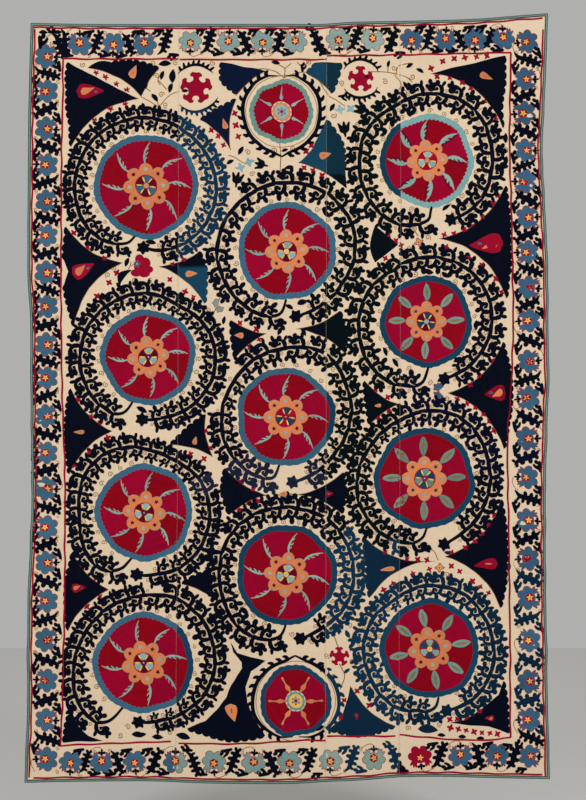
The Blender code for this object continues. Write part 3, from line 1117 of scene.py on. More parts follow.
def roundel(name):
    """A ring, its red wheel with eight leaves, an orange flower and a medallion in its heart."""
    across, below, radius, thread, leaves, first, hearts = ROUNDELS[name]
    up = -below
    phase = across / 37 + below / 91
    sew(ring(thread, radius, radius - 24, 37, phase), across, up)
    for part in wheel(radius - 19, 60, 8, first, phase):
        sew(part, across, up, tone=SEWER.uniform(-0.6, 0.6))
    for k in range(8):
        sew(RING_LEAVES[leaves], across, up, first + 45 * k + SEWER.uniform(-3, 3), radius / DRAWN_RADIUS)
    stars = "deep blue" if name in ("right_2", "right_3") else "plum"
    for part in rosette_flower(first, stars):
        sew(part, across, up, size=radius / DRAWN_RADIUS * 1.02)
    for part in medallion(hearts, first + 20):
        sew(part, across, up, size=radius / DRAWN_RADIUS)


for roundel_name in ROUNDELS:
    roundel(roundel_name)

# Vines round the roundels
OUTER_START, OUTER_END = 13, 7  # degrees from either end of a vine to its first and last leaves
INNER_START, INNER_END = 20, 8
LEAF_BACK = 5.5  # degrees from a leaf's root back to the middle of its body
LEAF_OFF = 25  # from the vine to the middle of a leaf's body
LEAF_CLEAR = 26.5
OUTER_LEAF_LONG = 51.5  # each leaf as it is drawn, with the room that it needs
INNER_LEAF_LONG = 48.5
INNER_LEAF_TALL = 45
LEAF_MIDDLE = 26
ROOT_OFF = 5.0
FRAME_CLEAR = 9
ROUNDEL_CLEAR = 66
DEEP_BAND = 50  # from ring to vine, where a second spiral fits
# The frame lines that hold the leaves in
FRAME_LEFT, FRAME_RIGHT, FRAME_BOTTOM, FRAME_TOP = -744, 733, -2366, -108
taken = []


def free(across, up, clear):
    """Whether no leaf is nearer than that."""
    return all(hypot(across - x, up - z) > clear for x, z in taken)


# Each vine: how far apart its outer and its inner leaves stand, in degrees, and its distance from the
# middle of its roundel at angles that run clockwise from the right. It leaves the ring at the first place
# and ends in a blossom at the last.
VINES = {
    "left_1": (12.3, 13.0, [
        (103, 170), (106, 190), (111, 203), (120, 218), (132, 231), (150, 238), (210, 233), (270, 225),
        (300, 221), (330, 223), (360, 230), (400, 229), (430, 221), (453, 204)]),
    "left_2": (13.4, 14.4, [
        (109, 155), (112, 190), (119, 214), (130, 222), (150, 226), (185, 225), (240, 215), (270, 209),
        (300, 197), (320, 208), (345, 218), (375, 222), (400, 217), (430, 208), (456, 206)]),
    "left_3": (13.0, 14.1, [
        (106, 158), (110, 190), (117, 215), (127, 233), (140, 236), (160, 223), (180, 215), (195, 222),
        (215, 232), (235, 232), (255, 222), (275, 207), (300, 199), (330, 211), (370, 216), (410, 217),
        (440, 208), (457, 206)]),
    "left_4": (12.9, 14.6, [
        (115, 164), (118, 200), (125, 240), (136, 254), (150, 251), (165, 240), (185, 225), (215, 216),
        (240, 215), (270, 222), (300, 238), (345, 237), (380, 229), (410, 211), (435, 198), (455, 196)]),
    "middle_1": (15.5, 17.4, [
        (91, 160), (93, 190), (98, 213), (110, 225), (150, 227), (180, 230), (225, 225), (270, 227),
        (310, 232), (340, 231), (365, 223), (390, 212), (420, 211), (442, 217)]),
    "middle_2": (14.5, 16.2, [
        (97, 160), (99, 190), (105, 210), (120, 217), (150, 217), (180, 211), (210, 207), (240, 215),
        (270, 227), (302, 246), (330, 228), (360, 215), (390, 203), (420, 207), (444, 217)]),
    "middle_3": (13.5, 15.3, [
        (91, 164), (93, 190), (99, 212), (110, 227), (122, 234), (135, 233), (155, 225), (180, 221),
        (215, 226), (250, 224), (280, 221), (305, 226), (340, 222), (390, 219), (415, 212), (438, 215)]),
    "right_1": (15.4, 16.6, [
        (84, 152), (87, 185), (95, 208), (106, 221), (120, 231), (150, 229), (180, 223), (205, 222),
        (222, 216), (240, 209), (262, 217), (285, 224), (315, 228), (335, 221), (360, 215), (400, 217),
        (428, 211)]),
    "right_2": (16.0, 16.2, [
        (88, 149), (91, 185), (97, 209), (110, 224), (122, 234), (150, 232), (180, 223), (210, 214),
        (238, 202), (255, 209), (285, 214), (318, 220), (360, 215), (390, 207), (415, 201), (433, 197)]),
    "right_3": (14.4, 15.2, [
        (87, 164), (90, 186), (96, 207), (106, 220), (125, 229), (165, 227), (190, 217), (215, 207),
        (245, 208), (270, 222), (290, 230), (312, 230), (335, 221), (360, 217), (400, 217), (420, 220),
        (433, 226)]),
    "right_4": (14.5, 15.0, [
        (80, 161), (83, 185), (90, 203), (105, 211), (122, 223), (150, 219), (185, 218), (210, 211),
        (235, 200), (260, 207), (300, 211), (340, 207), (380, 215), (405, 217), (420, 214), (435, 211)]),
}
# Lens leaves between a vine and its ring: roundel, angle, distance from its middle
LENS_SPOTS = [
    ("left_1", 446, 186), ("left_2", 97, 176), ("middle_1", 287, 181), ("middle_1", 316, 182),
    ("middle_1", 433, 178), ("middle_3", 139, 184), ("middle_3", 313, 180), ("right_1", 212, 170),
    ("right_1", 230, 170), ("right_1", 253, 168), ("right_1", 356, 170), ("right_1", 390, 168),
    ("right_1", 428, 168), ("right_2", 127, 170), ("right_2", 144, 170), ("right_2", 272, 166),
    ("right_2", 292, 167), ("right_2", 364, 166), ("right_2", 410, 165), ("right_3", 109, 183),
    ("right_3", 322, 182), ("right_3", 362, 182), ("right_3", 396, 181), ("left_4", 92, 240),
]
REACHES = {name: curve(row[2], 1) for name, row in VINES.items()}


def in_roundel(name, angle, reach):
    """A place at that angle and distance from the middle of a roundel."""
    across, below = ROUNDELS[name][:2]
    return across + reach * cos(radians(angle)), -below - reach * sin(radians(angle))


def beside_vine(name, angle, off=0.0):
    """A place on a vine or that far outside it, or inside it where off is below nought."""
    return in_roundel(name, angle, float(on(REACHES[name], angle)) + off)


def on_vine(name, angle):
    """A place on a vine, and the way the vine runs there, in degrees."""
    before, here, after = (beside_vine(name, a) for a in (angle - 1, angle, angle + 1))
    return here, degrees(atan2(after[1] - before[1], after[0] - before[0]))


leaf_places, spiral_places, lens_places = [], [], []


def add_spiral(spot, least, most):
    """A small spiral between two leaves, of any kind and turn."""
    spiral_places.append((SEWER.randrange(3), *spot, SEWER.uniform(0, 360), SEWER.uniform(least, most)))


for roundel_name, (outer_pitch, inner_pitch, places) in VINES.items():
    first, last = places[0][0], places[-1][0]
    radius = ROUNDELS[roundel_name][2]
    path = [beside_vine(roundel_name, a) for a in np.linspace(first, last - 4, 90)]
    sew(patch("leaf", [stroke(path, [8, 11] + [14.5] * 24 + [10], 8.0)], FIRST_LAYER + 0.05, edge=1.6))
    tip = beside_vine(roundel_name, last)
    blossom = moved(star(6, 24, 17, 6, SEWER.uniform(0, 40)), *tip)
    sew(patch("leaf", [blossom, stroke([path[-1], tip], [9, 9])], FIRST_LAYER, edge=1.8, grid=12))
    taken.append(tip)
    for angle in np.arange(first + OUTER_START, last - OUTER_END, outer_pitch):
        leaf_places.append((roundel_name, angle, 1, outer_pitch))
        add_spiral(beside_vine(roundel_name, angle + 3.3, 15), 0.6, 0.75)
    for angle in np.arange(first + INNER_START, last - INNER_END, inner_pitch):
        leaf_places.append((roundel_name, angle, -1, inner_pitch))
        add_spiral(beside_vine(roundel_name, angle + 3.4, -16), 0.75, 0.9)
        reach = float(on(REACHES[roundel_name], angle))
        if reach - radius > DEEP_BAND:
            add_spiral(beside_vine(roundel_name, angle + 3.2, radius + 9 - reach), 0.75, 0.95)
for roundel_name, angle, reach in LENS_SPOTS:
    lens_places.append((0, *in_roundel(roundel_name, angle, reach),
                        90 - angle + SEWER.uniform(-22, 22), SEWER.uniform(0.9, 1.15)))


def within_frame(across, up, margin):
    """Whether a place lies inside the frame lines, by that much."""
    return (FRAME_LEFT + margin < across < FRAME_RIGHT - margin
            and FRAME_BOTTOM + margin < up < FRAME_TOP - margin)


# The two small roundels, which leaves keep clear of: across, up, reach
SMALL_RING_REACH = [(-21, -289, 146), (25, -2234, 152)]
sown = []
for roundel_name, angle, side, pitch in leaf_places:
    (root_x, root_z), run = on_vine(roundel_name, angle)
    reach = float(on(REACHES[roundel_name], angle))
    room = pitch * pi / 180 * (reach + side * LEAF_MIDDLE)
    depth = reach - ROUNDELS[roundel_name][2]
    # A leaf is as long as its share of the vine allows, and inside the vine as tall as the ring allows
    if side > 0:
        size = min(1.12, room / OUTER_LEAF_LONG)
    else:
        size = min(1.13, room / INNER_LEAF_LONG, (depth - 4) / INNER_LEAF_TALL)
    x, z = beside_vine(roundel_name, angle - LEAF_BACK, side * LEAF_OFF * size)
    to_others = [hypot(x - row[0], z + row[1]) - float(row[2])
                 for other, row in ROUNDELS.items() if other != roundel_name]
    if side > 0 and min(to_others) < ROUNDEL_CLEAR:
        continue
    if any(hypot(x - sx, z - sz) < sr for sx, sz, sr in SMALL_RING_REACH):
        continue
    if not within_frame(x, z, FRAME_CLEAR) or not free(x, z, LEAF_CLEAR * size):
        continue
    taken.append((x, z))
    if side > 0:
        kind = SEWER.choice((0, 0, 1) if roundel_name[:4] == "left" else (0, 1, 2))
    else:
        kind = 3 + SEWER.choice((0, 1, 2))
    off = side * ROOT_OFF
    sown.append((kind, root_x - off * sin(radians(run)), root_z + off * cos(radians(run)),
                 run + (0 if side > 0 else 180) + SEWER.uniform(-4, 4), size * SEWER.uniform(0.95, 1.04)))
repeat("vine_leaf", OUTER_LEAVES + INNER_LEAVES, sown)
repeat("spiral", SPIRALS, spiral_places)
repeat("lens_leaf", [LENS_LEAF], lens_places)


# The two small roundels at the top and the bottom
CRESCENT_WIDE = 10
HOOK_LONG = 9


def toothed_crescent(across, up, radius, first, last):
    """A dark band round part of a circle, tapered at both ends, with hooks on its outside."""
    angles = np.radians(np.linspace(first, last, max(6, round(abs(last - first) * radius / 1100))))
    middle = np.column_stack((across + radius * np.cos(angles), up + radius * np.sin(angles)))
    parts = [stroke(middle, [CRESCENT_WIDE * share for share in (0.2, 0.8, 1, 1, 0.8, 0.2)], 7.0)]
    hooks = round(abs(radians(last - first)) * radius / (HOOK_LONG * 1.75))
    for k in range(1, hooks):
        a = radians(first + (last - first) * k / hooks)
        lean = 0.3 * HOOK_LONG / radius * (1 if last > first else -1)
        root = radius + CRESCENT_WIDE * 0.2
        tip = radius + CRESCENT_WIDE * 0.4 + HOOK_LONG * (0.75 + 0.25 * (k % 3))
        parts.append(stroke([(across + root * cos(a), up + root * sin(a)),
                             (across + tip * cos(a + lean), up + tip * sin(a + lean))],
                            [HOOK_LONG * 1.2, HOOK_LONG * 0.8]))
    sew(patch("leaf", parts, FIRST_LAYER, edge=1.3), tone=0.0)


HALF_BAND = [(10, 118), (50, 116), (95, 88), (124, 38), (125, -22), (106, -74), (66, -115), (24, -136),
             (0, -148)]


def small_roundel(across, below, radius, hearts, thread, pin, first, point, wide):
    """A ring, a wheel of six sectors with pins between, a heart and a toothed band of two halves."""
    up = -below
    phase = across / 11
    sew(ring(thread, radius, radius - 20, 29, phase), across, up)
    for part in wheel(radius - 15, 40, 6, first, phase):
        sew(part, across, up)
    for k in range(6):
        sew(pin, across, up, first + 60 * k, (radius - 16) / DRAWN_PIN_RADIUS)
    outer, inner = hearts
    sew(patch(outer, [star(12, 34, 29, 4), ellipse(0, 0, 27, 27)], SECOND_LAYER + 0.15,
              edge=1.6, grid=11), across, up)
    sew(patch(inner, [ellipse(0, 0, 24, 24, count=18)], THIRD_LAYER, edge=1.4, grid=11), across, up)
    sew(patch("crimson", [star(6, 19, 9, 4, 30)], THIRD_LAYER + 0.12, edge=1.4), across, up)
    sew(patch("pale blue", [ellipse(0, 0, 11, 11, count=12)], FOURTH_LAYER, edge=1.0), across, up)
    sew(patch("crimson", [star(5, 8.5, 5, 4)], FOURTH_LAYER + 0.12, edge=1.0), across, up)
    sew(hoop("brown", radius + 13, 2.4), across, up)
    for hand in (-1, 1):
        path = np.array(HALF_BAND) * (hand * wide, point)
        parts = [stroke(path, [3, 9, 12, 13, 13, 13, 13, 12, 6], 7.0)]
        line = smooth_line(path, 25)
        for before, here, after in zip(line[1:], line[2:], line[3:]):
            out = np.array([(before - after)[1], (after - before)[0]]) * hand
            out = out / hypot(*out) * (-1 if np.dot(out, here) < 0 else 1)
            back = (before - after) / hypot(*(before - after))
            tooth = [here + out * 2, here + out * 12 + back * 2, here + out * 17 + back * 10]
            parts.append(stroke(tooth, [16, 13, 7]))
        sew(patch("leaf", [moved(part, across, up) for part in parts], FIRST_LAYER, edge=1.3), tone=0.0)


small_roundel(-21, 289, 105, ("orange", "pale blue"), "spindle", PIN, 30, 1, 1)
small_roundel(25, 2234, 118, ("spindle", "yellow"), "deep blue", ORANGE_PIN, 0, -1, 1.12)

# Dark fields: the edges that follow their corners in turn, and the corners on the squares.
# A line is straight, a band is hollowed round a roundel, a bulge is rounded out, and teeth are scallops.
FIELDS = [
    ("line teeth teeth teeth band", [(138.4, 99.2), (68, 62.5), (66.5, 90), (70, 126), (71.4, 146.7)]),
    ("band bulge teeth teeth band", [(141, 97), (88, 68.2), (112, 62), (140, 62), (159.4, 68.9)]),
    ("line band teeth teeth", [(221, 62), (266.3, 70.8), (237, 94.4), (221.5, 82)]),
    ("teeth band band", [(236.4, 99.5), (200, 119.9), (231, 150)]),
    ("teeth line teeth band", [(306.5, 73.3), (317, 62.5), (341.6, 62.5), (331.4, 93.7)]),
    ("teeth teeth line line band band line",
     [(325.6, 120), (341.6, 140), (345.3, 168), (346.6, 188.7), (328, 174.6), (298, 163), (313, 148)]),
    ("line band teeth teeth", [(504.6, 55.5), (430.6, 73.3), (502.7, 128.2), (500.8, 111)]),
    ("band teeth line line teeth band",
     [(122.4, 262.8), (66.3, 226.9), (64, 260), (68, 272), (64, 285), (74, 326.7)]),
    ("band teeth teeth band", [(158.9, 266.5), (199.7, 251.2), (206.5, 272), (204.2, 303.5)]),
    ("line line bulge", [(375.3, 225.7), (398.2, 244.8), (375.3, 262.7)]),
    ("band band teeth", [(231, 320), (266, 333.8), (234.8, 358.7)]),
    ("band teeth teeth band", [(296, 329), (340, 311), (346, 332), (345, 353)]),
    ("band teeth teeth band", [(112.2, 431), (70.8, 388.3), (65, 430), (69.5, 474.4)]),
    ("teeth band band", [(205.5, 414.8), (169.8, 444.8), (212.5, 457)]),
    ("band band teeth teeth", [(225.3, 467.8), (266.7, 495.2), (229.7, 515), (221, 491)]),
    ("band band teeth", [(364.4, 381), (398.9, 404.6), (369.5, 424.4)]),
    ("band band teeth teeth", [(342.7, 472.2), (280, 494.5), (341.5, 513.7), (346, 492)]),
    ("band teeth teeth band", [(438.6, 238.4), (504.9, 185.5), (510, 236), (506, 298.4)]),
    ("band teeth teeth band", [(448, 393), (503, 341.5), (512, 392), (503.6, 448.6)]),
    ("band teeth teeth band", [(444.6, 556.7), (501, 499), (507, 555), (500.6, 608.4)]),
    ("band band teeth teeth", [(363.8, 536.4), (435.2, 560.6), (369.5, 598.2), (367, 566)]),
    ("teeth band line", [(210.6, 569.5), (181.3, 583.6), (211.9, 598.2)]),
    ("band teeth teeth band", [(108.5, 590), (72.7, 553), (65, 590), (68, 631.2)]),
    ("teeth line line line line line",
     [(70.5, 708), (63.5, 742), (103, 740.5), (88.6, 735.5), (79.5, 726.5), (74, 716)]),
    ("line line line line line line line teeth teeth line line line line line line line line",
     [(230.5, 642), (238, 653), (265.4, 661), (251, 671), (246, 687), (247, 702.6), (253.7, 718.2),
      (265, 735.5), (232, 741), (187, 728.5), (205.6, 720.8), (216, 710.4), (226.4, 697.4),
      (231.6, 684.4), (241.5, 668.8), (241.5, 662), (233.5, 652)]),
    ("line line line teeth teeth band",
     [(350.6, 685.6), (345, 707.6), (341, 719), (328.6, 729.6), (362, 736), (395.7, 726.5)]),
    ("line line line line teeth line line",
     [(449.6, 723), (465, 719.5), (482.6, 708), (498, 694.4), (503.5, 681), (508, 733), (489, 726.5)]),
]
TOOTH_WIDE = 25
TOOTH_HIGH = 6.5
TOOTH_POINTS = 7


def field_edge(a, b, kind, outward):
    """Points along one edge of a dark field, from a to just before b."""
    run = b - a
    length = hypot(*run)
    out = outward * np.array([run[1], -run[0]]) / length
    if kind == "teeth":
        count = max(1, round(length / TOOTH_WIDE)) * TOOTH_POINTS
    else:
        count = max(2, round(length / 8))
    t = np.arange(count)[:, None] / count
    bow = {"line": 0.0, "teeth": 0.03 * length, "bulge": 0.14 * length,
           "band": -min(0.22 * length, length**2 / (8 * BAND_RADIUS) * 1.15)}[kind]
    points = a + run * t + out * bow * 4 * t * (1 - t)
    if kind == "teeth":
        lobes = count // TOOTH_POINTS
        points = points + out * TOOTH_HIGH * np.abs(np.sin(pi * t * lobes)) ** 0.6
    return points


def dark_field(kinds, corners):
    """A dark field, with a brown line along each edge that follows a roundel."""
    spots = [place(*corner) for corner in corners]
    outward = 1.0 if turns_left(np.array(spots)) else -1.0
    shape = []
    for a, b, kind in zip(spots, spots[1:] + spots[:1], kinds.split()):
        edge = field_edge(a, b, kind, outward)
        shape.append(edge)
        if kind == "band":
            line = np.vstack((edge, b[None]))
            line = line[::2] if len(line) > 6 else line
            sew(patch("brown", [stroke(line, [1.6, 2.4, 1.6], 8)], LINE_LAYER))
    outline = np.vstack(shape)
    if outward < 0:
        outline = outline[::-1]
    sew(patch("field", [outline], FIRST_LAYER, edge=2.0, grid=12, lay=SEWER.uniform(60, 120), whole=True),
        tone=SEWER.uniform(-0.5, 0.5))


for field_kinds, field_corners in FIELDS:
    dark_field(field_kinds, field_corners)

# Drops in the fields: column, row, length, width, turn, outer thread, inner thread or none
DROPS = [
    (76, 90.8, 96, 50, -4, "crimson", "orange"), (130.5, 78, 48, 26, 58, "orange", None),
    (225.5, 129.5, 40, 20, 96, "orange", None), (319, 156.6, 42, 24, 8, "orange", None),
    (480, 73.5, 48, 24, -32, "orange", None), (72, 275, 84, 48, 24, "crimson", "orange"),
    (185.3, 273.6, 42, 22, -6, "orange", None), (244, 336, 34, 20, 170, "orange", None),
    (85, 432.3, 42, 16, 172, "orange", None), (193.4, 444.8, 30, 18, 64, "orange", None),
    (381.6, 405, 26, 13, 180, "orange", None), (503.5, 242.9, 116, 66, 181, "crimson", "orange"),
    (506, 393, 72, 54, 178, "crimson", "orange"), (498, 563.6, 84, 38, 179, "crimson", None),
    (395, 568.3, 56, 17, 184, "orange", None), (71.5, 588.7, 50, 32, 4, "crimson", "orange"),
    (230, 703.8, 63, 40, 277, "orange", None), (287.5, 494.3, 34, 18, 178, "orange", None),
    (356.7, 713, 26, 13, 268, "crimson", None), (325.5, 494, 28, 20, 0, "crimson", None),
    (494.5, 718.2, 34, 22, 176, "crimson", "orange"),
]
for column, row, length, wide, turn, thread, heart in DROPS:
    x, z = place(column, row)
    body = drop(length, wide, wide * (0.12 if heart else 0.25))
    sew(patch(thread, [body], SECOND_LAYER, edge=2.0, lay=90), x, z, turn)
    if heart:
        sew(patch(heart, [moved(drop(length * 0.5, wide * 0.5, wide * 0.3), length * 0.14)],
                  THIRD_LAYER, edge=1.8, lay=20), x, z, turn)
        eye = ellipse(length * 0.68, 0, wide * 0.13, wide * 0.08)
        sew(patch("steel", [eye], THIRD_LAYER), x, z, turn)
    else:
        mark = "brown" if thread == "orange" else "orange"
        sew(patch(mark, [moved(lens(length * 0.34, wide * 0.16), length * 0.2, wide * 0.04)],
                  THIRD_LAYER, edge=1.0), x, z, turn)

# Crimson florets in the light strips beside the fields
FLORETS = [
    (96.3, 73.3), (105.2, 77.2), (116.3, 84.2), (126.9, 90.3), (125.6, 104), (110.3, 109.4), (94.4, 119.9),
    (235, 113.5), (235.7, 125.6), (238.3, 136.5), (211.2, 130), (218.2, 136.2), (223.6, 145.4),
    (311.6, 145.4), (306.4, 151), (303.8, 168), (312.8, 170.2), (322.3, 175.3),
    (431.3, 68.2), (442.8, 61.2), (453.9, 58.7), (464.7, 57.7), (476.3, 56.8), (486.8, 56.1),
    (437, 76.5), (449.8, 78), (462.5, 82.3), (470.8, 88.3), (484.6, 101.4), (495, 118.4),
    (73.7, 233), (87.7, 247.6), (104.4, 258.6), (117, 272.5), (109.3, 282.4), (97, 296.4),
    (183.5, 259.6), (172.5, 264.6), (170, 279.5), (185, 291.8), (193, 297.5),
    (388, 235.6), (395.7, 241), (401.4, 245.4), (385.5, 258.2),
    (259, 339.6), (249.5, 346.6), (240, 323.2), (256.5, 329),
    (78.8, 399.8), (90.8, 416.7), (100, 424), (107.8, 437.4), (88.6, 452), (75, 465.7),
    (206, 430.8), (210, 448), (190.6, 453.7), (204.2, 459),
    (240.8, 481.8), (253, 489.4), (258.4, 501), (249.2, 502.8), (239.7, 509.2),
    (375.5, 389.3), (388, 397), (388.4, 410.4), (377.6, 416.7),
    (497.6, 196.3), (493.4, 204), (482.6, 217.4), (473.4, 226), (464.3, 230), (453.6, 234), (444, 234.6),
    (446.5, 246.7), (469, 257.6), (481.7, 264.6), (496.3, 278.6), (501.4, 292),
    (492.8, 360.6), (479, 375.7), (470, 385), (457.7, 398.9), (467.3, 403.6), (475.3, 407.6),
    (483.2, 414.4), (489.2, 421.6), (494.3, 430.5),
    (493.8, 515.6), (488.7, 525), (482.8, 533.4), (475.3, 541.2), (465.6, 548), (451.5, 552.4),
    (451.2, 566.2), (459.6, 571.3), (472.7, 581), (480.3, 586.8), (488.5, 592.9),
    (385.5, 552.3), (406.5, 559), (417.7, 559.6), (427, 560), (412.9, 573.6), (429.5, 569), (393.5, 583.6),
    (383.8, 589.7), (82, 568), (95.7, 579), (99.9, 596.6), (87, 606.4),
    (344, 700), (341, 717), (357, 691), (369, 705),
    (450.6, 727.7), (458.5, 729), (466.3, 730.2), (474, 731.3), (481.8, 732.2), (489.5, 733.2),
    (497.1, 734), (479.9, 711.2), (466.7, 718.2), (457.5, 719), (449.8, 719.4),
]
floret_places = []
for number, (column, row) in enumerate(FLORETS):
    x, z = place(column, row)
    kind = 1 if number < 7 else 0
    floret_places.append((kind, x, z, SEWER.uniform(-25, 25), SEWER.uniform(0.85, 1.1)))
repeat("floret", [FLORET, SPRIG], floret_places)

# The rosettes, blossoms, stems and single leaves that fill what the roundels leave, all on the squares

# One arm of a rosette: reach, and angle from the middle of the arm
ROSETTE_ARM = [(30, -21), (36, -17), (41, -19), (43, -27), (49, -26), (55, -14), (52, 0), (55, 14),
               (49, 26), (43, 27), (41, 19), (36, 17), (30, 21), (27, 36)]


def rosette(column, row, size, crescents):
    """Five arms that end in double hooks, with round bites between."""
    x, z = place(column, row)
    outline = []
    for k in range(5):
        for reach, angle in ROSETTE_ARM:
            a = radians(90 + 72 * k + angle)
            outline.append((reach * size * cos(a), reach * size * sin(a)))
    sew(patch("crimson", [rounded(outline, 4)], FIRST_LAYER, edge=1.6, grid=12), x, z)
    for reach, first, last in crescents:
        toothed_crescent(x, z, reach, first, last)


rosette(196, 88, 0.97, ((76, 141, 40), (78, -135, -22)))
rosette(360.7, 79, 0.8, ((64, 150, 20), (62, -150, -25)))
rosette(339.3, 656.5, 0.6, ())
BLOSSOM = patch("pale blue", [star(4, 17, 8.5, 5), stroke([(-20, 4), (0, 0)], [4, 6])],
                FIRST_LAYER, edge=1.4)
PAIR = together([
    patch("petal", [moved(star(5, 15, 10, 4), 0, 12 * hand), moved(star(4, 11, 7, 4), 9, 16 * hand)],
          FIRST_LAYER, edge=3.0) for hand in (-1, 1)
] + [patch("yellow", [stroke([(-12, 0), (12, 0)], [2.6, 2.6])], LINE_LAYER)])
FOUR_PETALS = together([
    patch("petal", [star(4, 17, 9, 5)], FIRST_LAYER, edge=2.6),
    patch("orange", [star(4, 14.5, 7, 5)], SECOND_LAYER, edge=1.2),
    patch("yellow", [moved(star(4, 8, 3.5, 4), turn=45)], THIRD_LAYER, edge=1.0),
    patch("crimson", [ellipse(0, 0, 3, 3, count=8)], FOURTH_LAYER, edge=0.8)])
TULIP_LEAF = patch("leaf", [stroke([(-28, 0), (-10, 0)], [6, 12]), ellipse(-2, 0, 14, 18),
                            stroke([(-2, -8), (20, -19)], [18, 7]), stroke([(2, 0), (24, 0)], [18, 7]),
                            stroke([(-2, 8), (20, 19)], [18, 7])], FIRST_LAYER, edge=1.6, grid=12)
CRIMSON_BUD = together([patch("crimson", [ellipse(-2, 2, 25, 25, count=20), ellipse(-6, 25, 15, 16),
                                          ellipse(12, 14, 18, 17), ellipse(24, -7, 14, 12),
                                          ellipse(8, -20, 20, 14), ellipse(-19, -20, 17, 12)],
                              FIRST_LAYER, edge=2.0, grid=12),
                        patch("steel", [moved(star(5, 14, 8, 4), -15, 9)], SECOND_LAYER, edge=1.4),
                        patch("yellow", [ellipse(-15, 9, 3, 3, count=8)], THIRD_LAYER, edge=0.8)])
HALF_MOON = patch("leaf", [
    stroke([(-30, -6), (-12, 4), (10, 4), (30, -8)], [4, 20, 20, 4]), ellipse(0, 9, 16, 11),
], FIRST_LAYER, edge=1.6, grid=12)
# motif, column, row, turn, size
SINGLES = [
    (BLOSSOM, 340.3, 109.6, 10, 1.05), (BLOSSOM, 350.5, 108.5, 220, 1.0),
    (BLOSSOM, 240.5, 167.5, 20, 1.0), (BLOSSOM, 248.6, 162, 200, 1.0), (PAIR, 217, 306, 30, 0.9),
    (PAIR, 437.5, 391.2, 0, 1.05), (FOUR_PETALS, 418.9, 242.2, 20, 1.0),
    (FOUR_PETALS, 439.7, 567.6, 0, 1.0), (CRIMSON_BUD, 141.6, 267, 0, 1.0),
    (HALF_MOON, 123.7, 276.7, 55, 1.0), (TULIP_LEAF, 361.5, 109, 150, 1.0),
    (TULIP_LEAF, 344.5, 128.5, 100, 0.95), (TULIP_LEAF, 261, 164.5, 165, 0.85),
    (TULIP_LEAF, 237.4, 179.5, 80, 0.95), (SPRAY, 65.5, 42.5, 70, 0.95), (BIRD_FOOT, 40, 42, 0, 1.35),
    (BIRD_FOOT, 343.5, 95.5, -80, 0.9), (BIRD_FOOT, 302, 67.5, 10, 0.8),
]
for motif, column, row, turn, size in SINGLES:
    sew(motif, *place(column, row), turn, size)

# Brown stems, on the squares
STEMS = [
    [(141, 97.3), (150, 101.2), (158.8, 105.8), (169, 96), (178.5, 91)],
    [(158.8, 105), (155.6, 100), (151, 96)], [(141, 97), (140.5, 84), (146, 73.5), (158.8, 68)],
    [(160, 85), (158, 80), (162.6, 72)], [(158, 80), (166, 89.5)], [(146, 77), (144.6, 86), (150, 91)],
    [(371.5, 71.5), (382, 72), (403, 75.4), (412, 82)], [(388, 72), (388.4, 62)],
    [(396, 74), (399, 66), (410, 63)], [(395, 75), (401, 84), (397, 92)],
    [(284, 78), (285, 69), (276, 62.5)], [(285, 69), (291, 64)], [(297, 62.5), (302, 66), (309, 61)],
    [(329.4, 96.5), (336, 100), (345, 106)], [(228.7, 155.7), (235, 157.5), (243.5, 163)],
    [(280, 144), (280.4, 158), (280.7, 173)],
    [(284, 78), (275.4, 71.5), (263.6, 68.8), (250.4, 72.8), (239.9, 84.6), (235.5, 96)],
    [(284, 78), (290, 75.4), (299, 72.6), (309.6, 72.8), (318.8, 80.7), (324, 90), (329.4, 96.5)],
    [(131, 262), (128, 270), (118, 283)], [(131, 266), (136, 262)], [(224, 290), (219, 300), (213, 314)],
    [(46, 38), (50, 35), (57, 32.5)], [(418, 236), (412, 228), (404, 226)],
    [(438, 560), (433, 551), (424, 549)], [(339, 648), (334, 636), (326, 629)],
    [(339, 664), (345, 676), (340, 689)], [(437.5, 383), (443, 374), (452, 372)],
]
for stem in STEMS:
    sew(patch("brown", [stroke([place(c, r) for c, r in stem], [3.2, 3.2], 7)], STEM_LAYER + 0.05))
